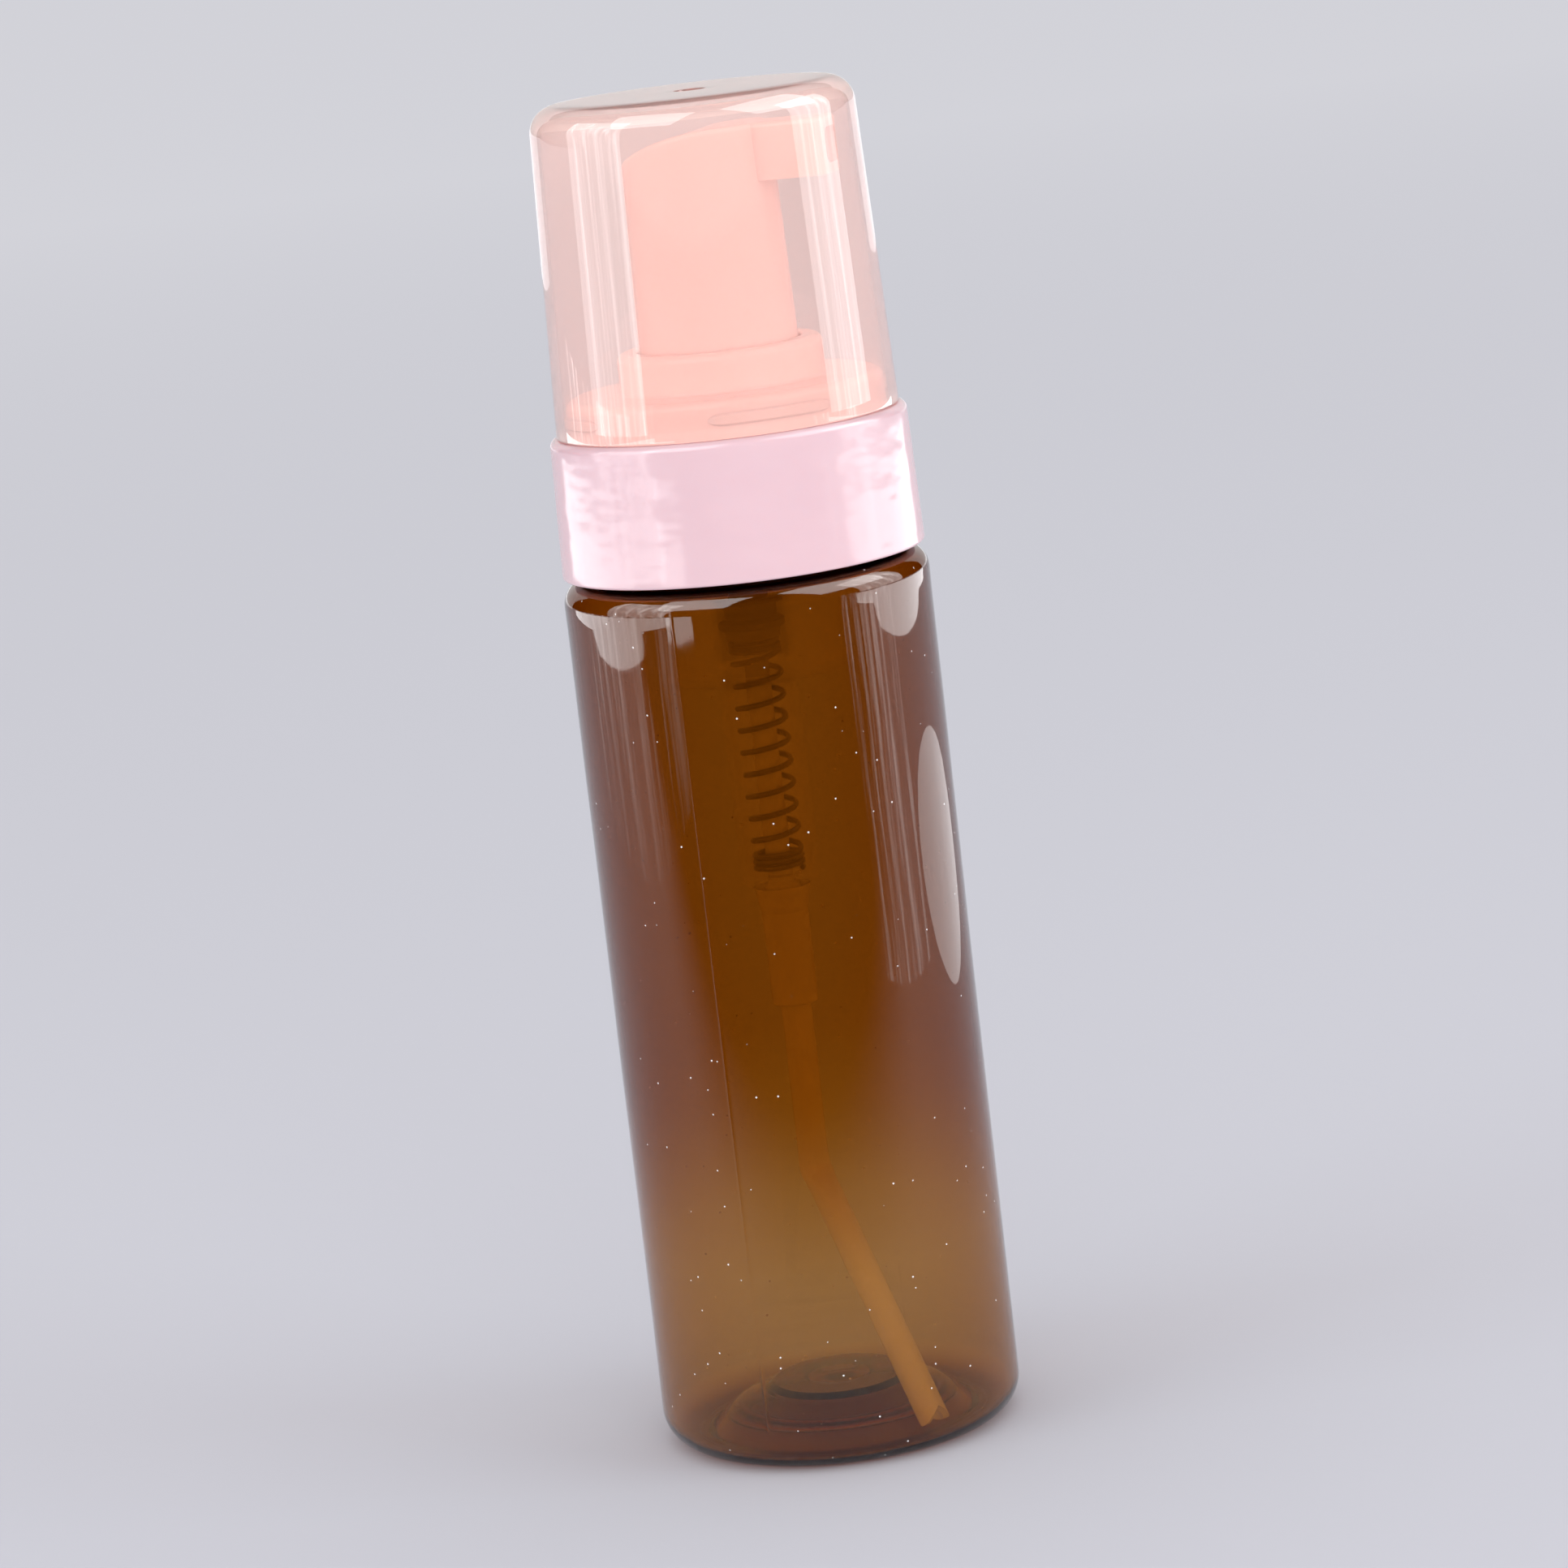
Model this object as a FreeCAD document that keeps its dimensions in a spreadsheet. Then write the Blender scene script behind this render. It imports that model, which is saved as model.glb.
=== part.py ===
"""Foaming soap pump on a 150 ml bottle, as an assembly of its separate moulded and metal pieces.

Frame: millimetres, +Z up, origin at the centre of the face the bottle stands on,
spout pointing along +X.
"""
import FreeCAD, Part
import math
import os

import Sketcher

SIZES = {
    # bottle
    "bottle_radius": 23.5,
    "bottle_wall": 0.8,
    "heel_round": 4.45,
    "foot_ring_radius": 17.7,
    "push_up_radius": 9.2,
    "push_up_rise": 5.05,
    "gate_disc_radius": 4.5,
    "gate_disc_rise": 5.55,
    "shoulder_top": 114.3,
    "shoulder_round": 3.0,
    "neck_radius": 19.6,
    "neck_bore": 17.8,
    "lip_top": 127.4,
    # screw thread shared by neck and collar
    "thread_pitch": 4.2,
    "thread_depth": 1.3,
    "thread_root_width": 2.0,
    "thread_crest_width": 1.0,
    "thread_turns": 1.5,
    "neck_thread_start": 118.4,
    # screw collar
    "collar_foot": 114.85,
    "collar_top": 132.7,
    "collar_foot_radius": 23.26,
    "collar_top_radius": 22.79,
    "collar_bore": 21.35,
    "collar_rim_thickness": 1.5,
    "collar_rim_bore": 20.55,
    "collar_edge_round": 0.9,
    # chaplet, the fixed pump cover
    "chaplet_radius": 20.3,
    "chaplet_wall": 1.6,
    "chaplet_flange_radius": 21.1,
    "chaplet_flange_bottom": 129.25,
    "chaplet_flange_top": 131.1,
    "chaplet_deck_top": 137.5,
    "chaplet_deck_thickness": 1.5,
    "chaplet_edge_round": 1.1,
    "boss_radius": 13.12,
    "boss_wall": 1.2,
    "boss_top": 142.6,
    "boss_hole": 10.45,
    "boss_lip_thickness": 1.5,
    "guide_inner": 10.7,
    "guide_outer": 11.3,
    "guide_bottom": 130.3,
    "snap_bead_proud": 0.32,
    "snap_bead_bottom": 134.1,
    "snap_bead_top": 136.0,
    "snap_bead_sweep": 46.0,
    "snap_bead_heading": 34.0,
    "snap_bead_count": 4,
    # overcap
    "cap_foot": 132.75,
    "cap_top": 174.6,
    "cap_foot_radius": 21.9,
    "cap_shoulder_radius": 20.5,
    "cap_wall": 1.1,
    "cap_corner_round": 3.5,
    "cap_gate_radius": 2.0,
    "cap_gate_depth": 0.2,
    # actuator
    "head_bottom": 134.5,
    "head_bottom_radius": 10.34,
    "head_crown_radius": 9.5,
    "head_crown": 172.0,
    "head_top": 169.9,
    "head_back_top": 166.0,
    "head_flat_start": 5.0,
    "head_wall": 1.2,
    "head_hollow_top": 160.5,
    "socket_radius": 7.2,
    "socket_bore": 5.8,
    "socket_bottom": 137.5,
    "riser_bore": 3.6,
    "riser_bottom": 158.0,
    "spout_reach": 17.5,
    "spout_width": 8.0,
    "spout_bottom": 162.7,
    "spout_edge_round": 1.4,
    "channel_width": 5.4,
    "channel_bottom": 164.0,
    "channel_top": 168.5,
    "channel_round": 1.3,
    # pump housing
    "flange_radius": 20.6,
    "flange_bottom": 128.0,
    "flange_top": 129.2,
    "plug_radius": 17.6,
    "plug_wall": 1.0,
    "plug_bottom": 125.5,
    "upstand_radius": 13.4,
    "upstand_top": 132.4,
    "air_radius": 12.4,
    "air_bore": 11.4,
    "air_floor": 100.0,
    "air_floor_thickness": 1.2,
    "liquid_radius": 5.1,
    "liquid_bore": 4.3,
    "liquid_top": 111.5,
    "liquid_floor": 73.8,
    "liquid_bottom": 72.3,
    "ball_neck_radius": 3.76,
    "ball_bore": 2.35,
    "ball_seat_top": 71.0,
    "ball_seat_drop": 1.15,
    "tail_radius": 2.98,
    "tail_top": 68.7,
    "tail_bottom": 56.5,
    "tail_bore": 1.98,
    "tail_bore_top": 68.6,
    # dip tube
    "tube_radius": 1.96,
    "tube_bore": 1.15,
    "tube_top": 68.4,
    "tube_bend_height": 34.7,
    "tube_bend_radius": 6.0,
    "tube_end_reach": 18.8,
    "tube_end_height": 2.6,
    "tube_heading": -34.0,
    # gasket
    "gasket_bottom": 127.42,
    # suction poppet and outlet ball
    "poppet_foot_radius": 2.0,
    "poppet_foot_height": 71.52,
    "poppet_rod_radius": 1.6,
    "poppet_top": 101.5,
    "outlet_ball_radius": 1.5,
    "outlet_ball_height": 132.2,
    # return spring
    "wire_radius": 0.375,
    "spring_radius": 3.025,
    "spring_bottom": 73.83,
    "spring_top": 104.55,
    "closed_pitch": 0.8,
    "closed_turns_low": 3,
    "closed_turns_high": 2,
    "active_turns": 9,
    # lower stem and liquid piston
    "stem_radius": 2.5,
    "stem_bore": 1.3,
    "stem_guide_bore": 1.9,
    "stem_guide_top": 118.0,
    "stem_bottom": 102.6,
    "stem_top": 131.0,
    "stem_foot_radius": 3.6,
    "stem_foot_bottom": 104.6,
    "stem_foot_top": 105.9,
    "stem_shelf_bottom": 123.3,
    "stem_shelf_top": 124.4,
    "ball_cup_depth": 0.6,
    "ball_cup_radius": 1.75,
    "piston_bottom": 105.95,
    "piston_top": 110.4,
    "piston_bore": 2.52,
    "piston_waist": 3.4,
    "piston_lip": 4.27,
    "piston_lip_height": 0.8,
    # air piston
    "air_piston_radius": 11.37,
    "air_piston_wall": 0.8,
    "air_piston_skirt_bottom": 123.6,
    "air_piston_skirt_top": 129.4,
    "air_web_bottom": 125.8,
    "air_web_top": 126.9,
    "air_hub_radius": 4.3,
    "air_hub_bore": 2.56,
    "air_hub_bottom": 124.5,
    "air_hub_top": 127.7,
    "air_port_circle": 7.0,
    "air_port_radius": 0.8,
    "air_port_count": 6,
    "flap_inner": 4.5,
    "flap_outer": 8.6,
    "flap_thickness": 0.45,
    # upper stem
    "upper_bottom": 128.9,
    "upper_top": 140.7,
    "upper_radius": 5.78,
    "upper_waist": 4.4,
    "upper_step": 136.4,
    "upper_fit_bore": 2.55,
    "upper_ball_bore": 2.2,
    "upper_ball_top": 134.9,
    "upper_port_bore": 1.1,
    "upper_chamber_bore": 4.6,
    "upper_chamber_bottom": 136.6,
    # mixing plug
    "plug_disc_radius": 4.55,
    "plug_disc_bottom": 137.0,
    "plug_disc_top": 138.2,
    "plug_nose_radius": 1.6,
    "plug_nose_top": 139.8,
    "jet_circle": 3.0,
    "jet_radius": 0.45,
    "jet_count": 8,
    # screen holder and screens
    "holder_bottom": 141.4,
    "holder_top": 157.6,
    "holder_radius": 5.78,
    "holder_bore": 4.7,
    "screen_radius": 5.5,
    "screen_rim": 0.8,
    "coarse_wire": 0.16,
    "coarse_pitch": 0.95,
    "fine_wire": 0.09,
    "fine_pitch": 0.55,
}

FULL_TURN = 360.0
CUT_MARGIN = 1.0

document = FreeCAD.newDocument("foam_soap_pump")
sheet = document.addObject("Spreadsheet::Sheet", "sizes")
for row, (alias, number) in enumerate(SIZES.items(), 1):
    sheet.set(f"A{row}", alias)
    sheet.set(f"B{row}", str(number))
    sheet.setAlias(f"B{row}", alias)
document.recompute()


class Size:
    """A length that carries its value in millimetres and the sheet expression behind it."""

    def __init__(self, value, text):
        self.value = float(value)
        self.text = text

    def __add__(self, other):
        other = as_size(other)
        return Size(self.value + other.value, f"({self.text} + {other.text})")

    def __sub__(self, other):
        other = as_size(other)
        return Size(self.value - other.value, f"({self.text} - {other.text})")

    def __mul__(self, factor):
        factor = as_size(factor)
        return Size(self.value * factor.value, f"({self.text} * {factor.text})")

    def __truediv__(self, divisor):
        divisor = as_size(divisor)
        return Size(self.value / divisor.value, f"({self.text} / {divisor.text})")

    def __neg__(self):
        return Size(-self.value, f"(-{self.text})")


def as_size(number):
    """Plain numbers join sums of sheet sizes as themselves."""
    if isinstance(number, Size):
        return number
    return Size(number, repr(float(number)))


def size(alias):
    """One cell of the sheet."""
    return Size(sheet.get(alias), f"sizes.{alias}")


def new_body(label):
    body = document.addObject("PartDesign::Body", label)
    body.Label = label
    return body


def new_sketch(body, name, role="XZ_Plane"):
    """A sketch on one of the body's own origin planes."""
    sketch = body.newObject("Sketcher::SketchObject", name)
    plane = next(item for item in body.Origin.OriginFeatures if item.Role == role)
    sketch.AttachmentSupport = (plane, [""])
    sketch.MapMode = "FlatFace"
    document.recompute()
    return sketch


def bind(sketch, constraint, expression):
    """Add a dimension and tie it to the sheet."""
    index = sketch.addConstraint(constraint)
    sketch.setExpression(f"Constraints[{index}]", expression)


def pin_point(sketch, edge, end, across, up):
    """Hold one end of a sketch edge at a place measured from the sketch's origin."""
    for axis, place in (("X", across), ("Y", up)):
        place = as_size(place)
        if place.value == 0:
            line = -2 if axis == "X" else -1
            sketch.addConstraint(Sketcher.Constraint("PointOnObject", edge, end, line))
        else:
            gap = Sketcher.Constraint("Distance" + axis, -1, 1, edge, end, place.value)
            bind(sketch, gap, place.text)


def draw_outline(sketch, corners):
    """A closed outline of straight edges whose every corner is tied to the sheet."""
    points = [FreeCAD.Vector(as_size(x).value, as_size(y).value, 0) for x, y in corners]
    count = len(points)
    first = sketch.GeometryCount
    for index in range(count):
        sketch.addGeometry(Part.LineSegment(points[index], points[(index + 1) % count]), False)
    for index in range(count):
        after = first + (index + 1) % count
        sketch.addConstraint(Sketcher.Constraint("Coincident", first + index, 2, after, 1))
    for index, (across, up) in enumerate(corners):
        pin_point(sketch, first + index, 1, across, up)


def draw_circle(sketch, across, up, radius):
    centre = FreeCAD.Vector(as_size(across).value, as_size(up).value, 0)
    edge = sketch.addGeometry(Part.Circle(centre, FreeCAD.Vector(0, 0, 1), radius.value), False)
    bind(sketch, Sketcher.Constraint("Radius", edge, radius.value), radius.text)
    pin_point(sketch, edge, 3, across, up)


def turn(body, name, corners, kind="PartDesign::Revolution"):
    """Turn an outline of (radius, height) corners about the body's Z axis."""
    sketch = new_sketch(body, name + "_outline")
    draw_outline(sketch, corners)
    feature = body.newObject(kind, name)
    feature.Profile = sketch
    feature.ReferenceAxis = (sketch, ["V_Axis"])
    feature.Angle = FULL_TURN
    document.recompute()
    return feature


def round_edges(body, name, edges, radius):
    """Round the chosen edges of the body's last feature."""
    if not edges:
        raise RuntimeError(f"{body.Label}: {name} finds no edge to round")
    last = body.Tip
    fillet = body.newObject("PartDesign::Fillet", name)
    fillet.Base = (last, edges)
    fillet.setExpression("Radius", radius.text)
    document.recompute()
    return fillet


def rings(body, *places):
    """Names of the circular edges about Z at each (radius, height)."""
    found = []
    for number, edge in enumerate(body.Shape.Edges, 1):
        if not isinstance(edge.Curve, Part.Circle):
            continue
        centre = edge.Curve.Center
        for radius, height in places:
            near = abs(edge.Curve.Radius - as_size(radius).value) < 0.01
            level = abs(centre.z - as_size(height).value) < 0.01
            if near and level and math.hypot(centre.x, centre.y) < 0.01:
                found.append(f"Edge{number}")
    return found


def cut_through(body, name, sketch, length, midplane=True, backwards=False):
    """Pocket a sketch and make sure that it took material away."""
    before = body.Shape.Volume
    pocket = body.newObject("PartDesign::Pocket", name)
    pocket.Profile = sketch
    pocket.Midplane = midplane
    pocket.Reversed = backwards
    pocket.setExpression("Length", as_size(length).text)
    document.recompute()
    if body.Shape.Volume > before - 1e-3:
        raise RuntimeError(f"{body.Label}: {name} cuts nothing")
    return pocket


def repeat_around(body, name, feature, sketch, count, axis="N_Axis"):
    """Repeat a feature evenly about the body's Z axis."""
    pattern = body.newObject("PartDesign::PolarPattern", name)
    pattern.Originals = [feature]
    pattern.Axis = (sketch, [axis])
    pattern.Angle = FULL_TURN
    pattern.setExpression("Occurrences", count.text)
    body.Tip = pattern
    document.recompute()


def add_thread(body, name, root_radius, outward, start_height):
    """A right-hand thread of trapezoid section, standing out of or into a round wall."""
    half_root = size("thread_root_width") / 2
    half_crest = size("thread_crest_width") / 2
    overlap = 0.3
    sink = root_radius - overlap if outward else root_radius + overlap
    crest = root_radius + size("thread_depth") if outward else root_radius - size("thread_depth")
    sketch = new_sketch(body, name + "_section")
    draw_outline(sketch, [
        (sink, start_height - half_root),
        (crest, start_height - half_crest),
        (crest, start_height + half_crest),
        (sink, start_height + half_root),
    ])
    helix = body.newObject("PartDesign::AdditiveHelix", name)
    helix.Profile = sketch
    helix.ReferenceAxis = (sketch, ["V_Axis"])
    helix.Mode = "pitch-turns-angle"
    helix.setExpression("Pitch", size("thread_pitch").text)
    helix.setExpression("Turns", size("thread_turns").text)
    document.recompute()
    return helix


def make_bottle():
    """Blown bottle: straight wall, pushed-up base standing on a ring, threaded neck."""
    body = new_body("bottle")
    radius = size("bottle_radius")
    wall = size("bottle_wall")
    inside = radius - wall
    ring = size("foot_ring_radius")
    shoulder = size("shoulder_top")
    roof = shoulder - wall
    turn(body, "shell", [
        (0, size("gate_disc_rise")),
        (size("gate_disc_radius"), size("gate_disc_rise")),
        (size("push_up_radius"), size("push_up_rise")),
        (ring, 0),
        (radius, 0),
        (radius, shoulder),
        (size("neck_radius"), shoulder),
        (size("neck_radius"), size("lip_top")),
        (size("neck_bore"), size("lip_top")),
        (size("neck_bore"), roof),
        (inside, roof),
        (inside, wall),
        (ring, wall),
        (size("push_up_radius"), size("push_up_rise") + wall),
        (size("gate_disc_radius"), size("gate_disc_rise") + wall),
        (0, size("gate_disc_rise") + wall),
    ])
    round_edges(body, "heel", rings(body, (radius, 0)), size("heel_round"))
    round_edges(body, "heel_inside", rings(body, (inside, wall)), size("heel_round") - wall)
    round_edges(body, "shoulder", rings(body, (radius, shoulder)), size("shoulder_round"))
    round_edges(body, "shoulder_inside", rings(body, (inside, roof)), size("shoulder_round") - wall)
    add_thread(body, "neck_thread", size("neck_radius"), True, size("neck_thread_start"))
    return body


def make_screw_collar():
    """Threaded collar that clamps the pump down on the bottle's lip."""
    body = new_body("screw_collar")
    foot = size("collar_foot")
    top = size("collar_top")
    turn(body, "shell", [
        (size("collar_bore"), foot),
        (size("collar_foot_radius"), foot),
        (size("collar_top_radius"), top),
        (size("collar_rim_bore"), top),
        (size("collar_rim_bore"), top - size("collar_rim_thickness")),
        (size("collar_bore"), top - size("collar_rim_thickness")),
    ])
    round_edges(body, "rim_edge", rings(body, (size("collar_top_radius"), top)),
                size("collar_edge_round"))
    round_edges(body, "foot_edge", rings(body, (size("collar_foot_radius"), foot)),
                size("collar_edge_round") / 3)
    start = size("neck_thread_start") - size("thread_pitch") / 2
    add_thread(body, "collar_thread", size("collar_bore"), False, start)
    return body


def make_chaplet():
    """Fixed pump cover: foot flange under the collar's rim, deck, guide boss and snap beads."""
    body = new_body("chaplet")
    radius = size("chaplet_radius")
    inside = radius - size("chaplet_wall")
    deck = size("chaplet_deck_top")
    under = deck - size("chaplet_deck_thickness")
    boss = size("boss_radius")
    boss_inside = boss - size("boss_wall")
    boss_top = size("boss_top")
    lip = boss_top - size("boss_lip_thickness")
    skirt = size("upstand_radius") + 0.1
    foot = size("chaplet_flange_bottom")
    turn(body, "cover", [
        (inside, foot),
        (size("chaplet_flange_radius"), foot),
        (size("chaplet_flange_radius"), size("chaplet_flange_top")),
        (radius, size("chaplet_flange_top")),
        (radius, deck),
        (boss, deck),
        (boss, boss_top),
        (size("boss_hole"), boss_top),
        (size("boss_hole"), lip),
        (size("guide_inner"), lip),
        (size("guide_inner"), size("guide_bottom")),
        (size("guide_outer"), size("guide_bottom")),
        (size("guide_outer"), lip),
        (boss_inside, lip),
        (boss_inside, under),
        (skirt, under),
        (skirt, foot + 0.2),
        (skirt + 1, foot + 0.2),
        (skirt + 1, under),
        (inside, under),
    ])
    round_edges(body, "deck_edge", rings(body, (radius, deck)), size("chaplet_edge_round"))
    round_edges(body, "boss_edge", rings(body, (boss, boss_top)), size("chaplet_edge_round"))
    round_edges(body, "boss_root", rings(body, (boss, deck)), size("chaplet_edge_round") / 3)
    round_edges(body, "guide_edge", rings(body, (size("boss_hole"), boss_top)),
                size("chaplet_edge_round") / 3)
    add_snap_beads(body, radius)
    body.Placement = heading_placement("snap_bead_heading")
    return body


def add_snap_beads(body, radius):
    """Short raised bars round the cover's skirt that grip the inside of the overcap."""
    sketch = new_sketch(body, "snap_bead_section")
    proud = radius + size("snap_bead_proud")
    low = size("snap_bead_bottom")
    high = size("snap_bead_top")
    slope = size("snap_bead_proud")
    draw_outline(sketch, [
        (radius - 0.4, low),
        (radius, low),
        (proud, low + slope),
        (proud, high - slope),
        (radius, high),
        (radius - 0.4, high),
    ])
    bead = body.newObject("PartDesign::Revolution", "snap_bead")
    bead.Profile = sketch
    bead.ReferenceAxis = (sketch, ["V_Axis"])
    bead.Midplane = True
    bead.setExpression("Angle", size("snap_bead_sweep").text)
    document.recompute()
    repeat_around(body, "snap_beads", bead, sketch, size("snap_bead_count"), "V_Axis")


def heading_placement(alias):
    """A turn about Z by a heading held in the sheet."""
    axis = FreeCAD.Vector(0, 0, 1)
    return FreeCAD.Placement(FreeCAD.Vector(), FreeCAD.Rotation(axis, size(alias).value))


def make_overcap():
    """Clear tapered cup that stands on the collar and covers the pump."""
    body = new_body("overcap")
    wall = size("cap_wall")
    foot = size("cap_foot")
    top = size("cap_top")
    gate_floor = top - size("cap_gate_depth")
    turn(body, "cup", [
        (0, top - wall),
        (size("cap_shoulder_radius") - wall, top - wall),
        (size("cap_foot_radius") - wall, foot),
        (size("cap_foot_radius"), foot),
        (size("cap_shoulder_radius"), top),
        (size("cap_gate_radius"), top),
        (size("cap_gate_radius"), gate_floor),
        (0, gate_floor),
    ])
    outer = rings(body, (size("cap_shoulder_radius"), top))
    round_edges(body, "crown_edge", outer, size("cap_corner_round"))
    inner = rings(body, (size("cap_shoulder_radius") - wall, top - wall))
    round_edges(body, "crown_edge_inside", inner, size("cap_corner_round") - wall)
    return body


def make_actuator():
    """Press-down foam head: drafted barrel, spout, inner socket for the stem and foam channel."""
    body = new_body("actuator")
    bottom = size("head_bottom")
    crown = size("head_crown")
    turn(body, "barrel", [
        (0, bottom),
        (size("head_bottom_radius"), bottom),
        (size("head_crown_radius"), crown),
        (0, crown),
    ])
    add_spout(body, crown)
    trim_crown(body)
    soften_head(body)
    cut_foam_channel(body)
    hollow_head(body, bottom)
    return body


def add_spout(body, crown):
    """Straight square spout from the barrel's axis out along +X."""
    sketch = new_sketch(body, "spout_side")
    reach = size("spout_reach")
    draw_outline(sketch, [
        (0, size("spout_bottom")),
        (reach, size("spout_bottom")),
        (reach, crown),
        (0, crown),
    ])
    spout = body.newObject("PartDesign::Pad", "spout")
    spout.Profile = sketch
    spout.Midplane = True
    spout.setExpression("Length", size("spout_width").text)
    document.recompute()


def trim_crown(body):
    """Cut the top to its side outline: an arc rising from the back edge, then flat to the tip."""
    top = size("head_top").value
    flat_start = size("head_flat_start").value
    back = -size("head_crown_radius").value
    drop = top - size("head_back_top").value
    run = flat_start - back
    radius = (run * run + drop * drop) / (2 * drop)
    clear = 6.0
    span = 2 * size("spout_reach").value
    far_left = back - clear
    far_drop = radius - math.sqrt(radius * radius - (flat_start - far_left) ** 2)
    half_left = (far_left + flat_start) / 2
    half_drop = radius - math.sqrt(radius * radius - (flat_start - half_left) ** 2)
    roof = top + clear
    vector = FreeCAD.Vector
    start = vector(far_left, top - far_drop, 0)
    middle = vector(half_left, top - half_drop, 0)
    crest = vector(flat_start, top, 0)
    sketch = new_sketch(body, "crown_side")
    sketch.addGeometry(Part.Arc(start, middle, crest), False)
    corners = [crest, vector(span, top, 0), vector(span, roof, 0), vector(far_left, roof, 0), start]
    for one, two in zip(corners, corners[1:]):
        sketch.addGeometry(Part.LineSegment(one, two), False)
    cut_through(body, "crown_trim", sketch, size("spout_reach") * 2)


def soften_head(body):
    """Round the spout's upright tip corners, then the whole top rim."""
    top = size("head_top").value
    reach = size("spout_reach").value
    half = size("spout_width").value / 2
    low = size("spout_bottom").value
    upright = []
    for number, edge in enumerate(body.Shape.Edges, 1):
        middle = edge.CenterOfMass
        at_tip = abs(middle.x - reach) < 0.01
        side = abs(abs(middle.y) - half) < 0.01
        if at_tip and side:
            upright.append(f"Edge{number}")
    round_edges(body, "spout_tip_corners", upright, size("spout_edge_round"))
    rim = []
    for number, edge in enumerate(body.Shape.Edges, 1):
        box = edge.BoundBox
        if box.ZMin > low + 3 and box.ZMax < top + 0.01 and box.DiagonalLength > 1:
            rim.append(f"Edge{number}")
    round_edges(body, "top_rim", rim, size("spout_edge_round") / 2)


def hollow_head(body, bottom):
    """Hollow the barrel, leaving the inner socket and the bore that rises to the spout."""
    wall = size("head_wall")
    hollow = size("head_bottom_radius") - wall
    hollow_high = size("head_crown_radius") - wall
    roof = size("head_hollow_top")
    turn(body, "hollow", [
        (0, bottom - CUT_MARGIN),
        (hollow, bottom - CUT_MARGIN),
        (hollow_high, roof),
        (size("socket_radius"), roof),
        (size("socket_radius"), size("socket_bottom")),
        (size("socket_bore"), size("socket_bottom")),
        (size("socket_bore"), size("riser_bottom")),
        (size("riser_bore"), size("riser_bottom")),
        (size("riser_bore"), size("channel_bottom") + CUT_MARGIN),
        (0, size("channel_bottom") + CUT_MARGIN),
    ], "PartDesign::Groove")


def cut_foam_channel(body):
    """Straight channel from above the riser out through the spout's end face."""
    sketch = new_sketch(body, "channel_section", "YZ_Plane")
    half = size("channel_width") / 2
    low = size("channel_bottom")
    high = size("channel_top")
    draw_outline(sketch, [(-half, low), (half, low), (half, high), (-half, high)])
    reach = size("spout_reach") + CUT_MARGIN
    cut_through(body, "channel", sketch, reach, midplane=False, backwards=True)
    corners = []
    half_width = half.value
    for number, edge in enumerate(body.Shape.Edges, 1):
        middle = edge.CenterOfMass
        side = abs(abs(middle.y) - half_width) < 0.01
        level = min(abs(middle.z - low.value), abs(middle.z - high.value)) < 0.01
        long = edge.BoundBox.XLength > 5
        if side and level and long:
            corners.append(f"Edge{number}")
    round_edges(body, "channel_corners", corners, size("channel_round"))


def make_pump_housing():
    """Clear housing: flange and air cylinder, liquid cylinder, valve seat and tube socket."""
    body = new_body("pump_housing")
    floor = size("air_floor")
    seat = size("ball_seat_top")
    throat = size("ball_bore") - size("ball_seat_drop")
    turn(body, "cylinders", [
        (size("air_bore"), size("upstand_top")),
        (size("upstand_radius"), size("upstand_top")),
        (size("upstand_radius"), size("flange_top")),
        (size("flange_radius"), size("flange_top")),
        (size("flange_radius"), size("flange_bottom")),
        (size("plug_radius"), size("flange_bottom")),
        (size("plug_radius"), size("plug_bottom")),
        (size("plug_radius") - size("plug_wall"), size("plug_bottom")),
        (size("plug_radius") - size("plug_wall"), size("flange_bottom")),
        (size("air_radius"), size("flange_bottom")),
        (size("air_radius"), floor),
        (size("liquid_radius"), floor),
        (size("liquid_radius"), size("liquid_bottom")),
        (size("ball_neck_radius"), size("liquid_bottom")),
        (size("tail_radius"), size("tail_top")),
        (size("tail_radius"), size("tail_bottom")),
        (size("tail_bore"), size("tail_bottom")),
        (size("tail_bore"), size("tail_bore_top")),
        (throat, size("tail_bore_top")),
        (throat, seat - size("ball_seat_drop")),
        (size("ball_bore"), seat),
        (size("ball_bore"), size("liquid_floor")),
        (size("liquid_bore"), size("liquid_floor")),
        (size("liquid_bore"), size("liquid_top")),
        (size("liquid_radius"), size("liquid_top")),
        (size("liquid_radius"), floor + size("air_floor_thickness")),
        (size("air_bore"), floor + size("air_floor_thickness")),
    ])
    round_edges(body, "air_floor_edge", rings(body, (size("air_radius"), floor)),
                size("air_floor_thickness"))
    round_edges(body, "liquid_bottom_edge",
                rings(body, (size("liquid_radius"), size("liquid_bottom"))),
                size("air_floor_thickness"))
    return body


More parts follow.
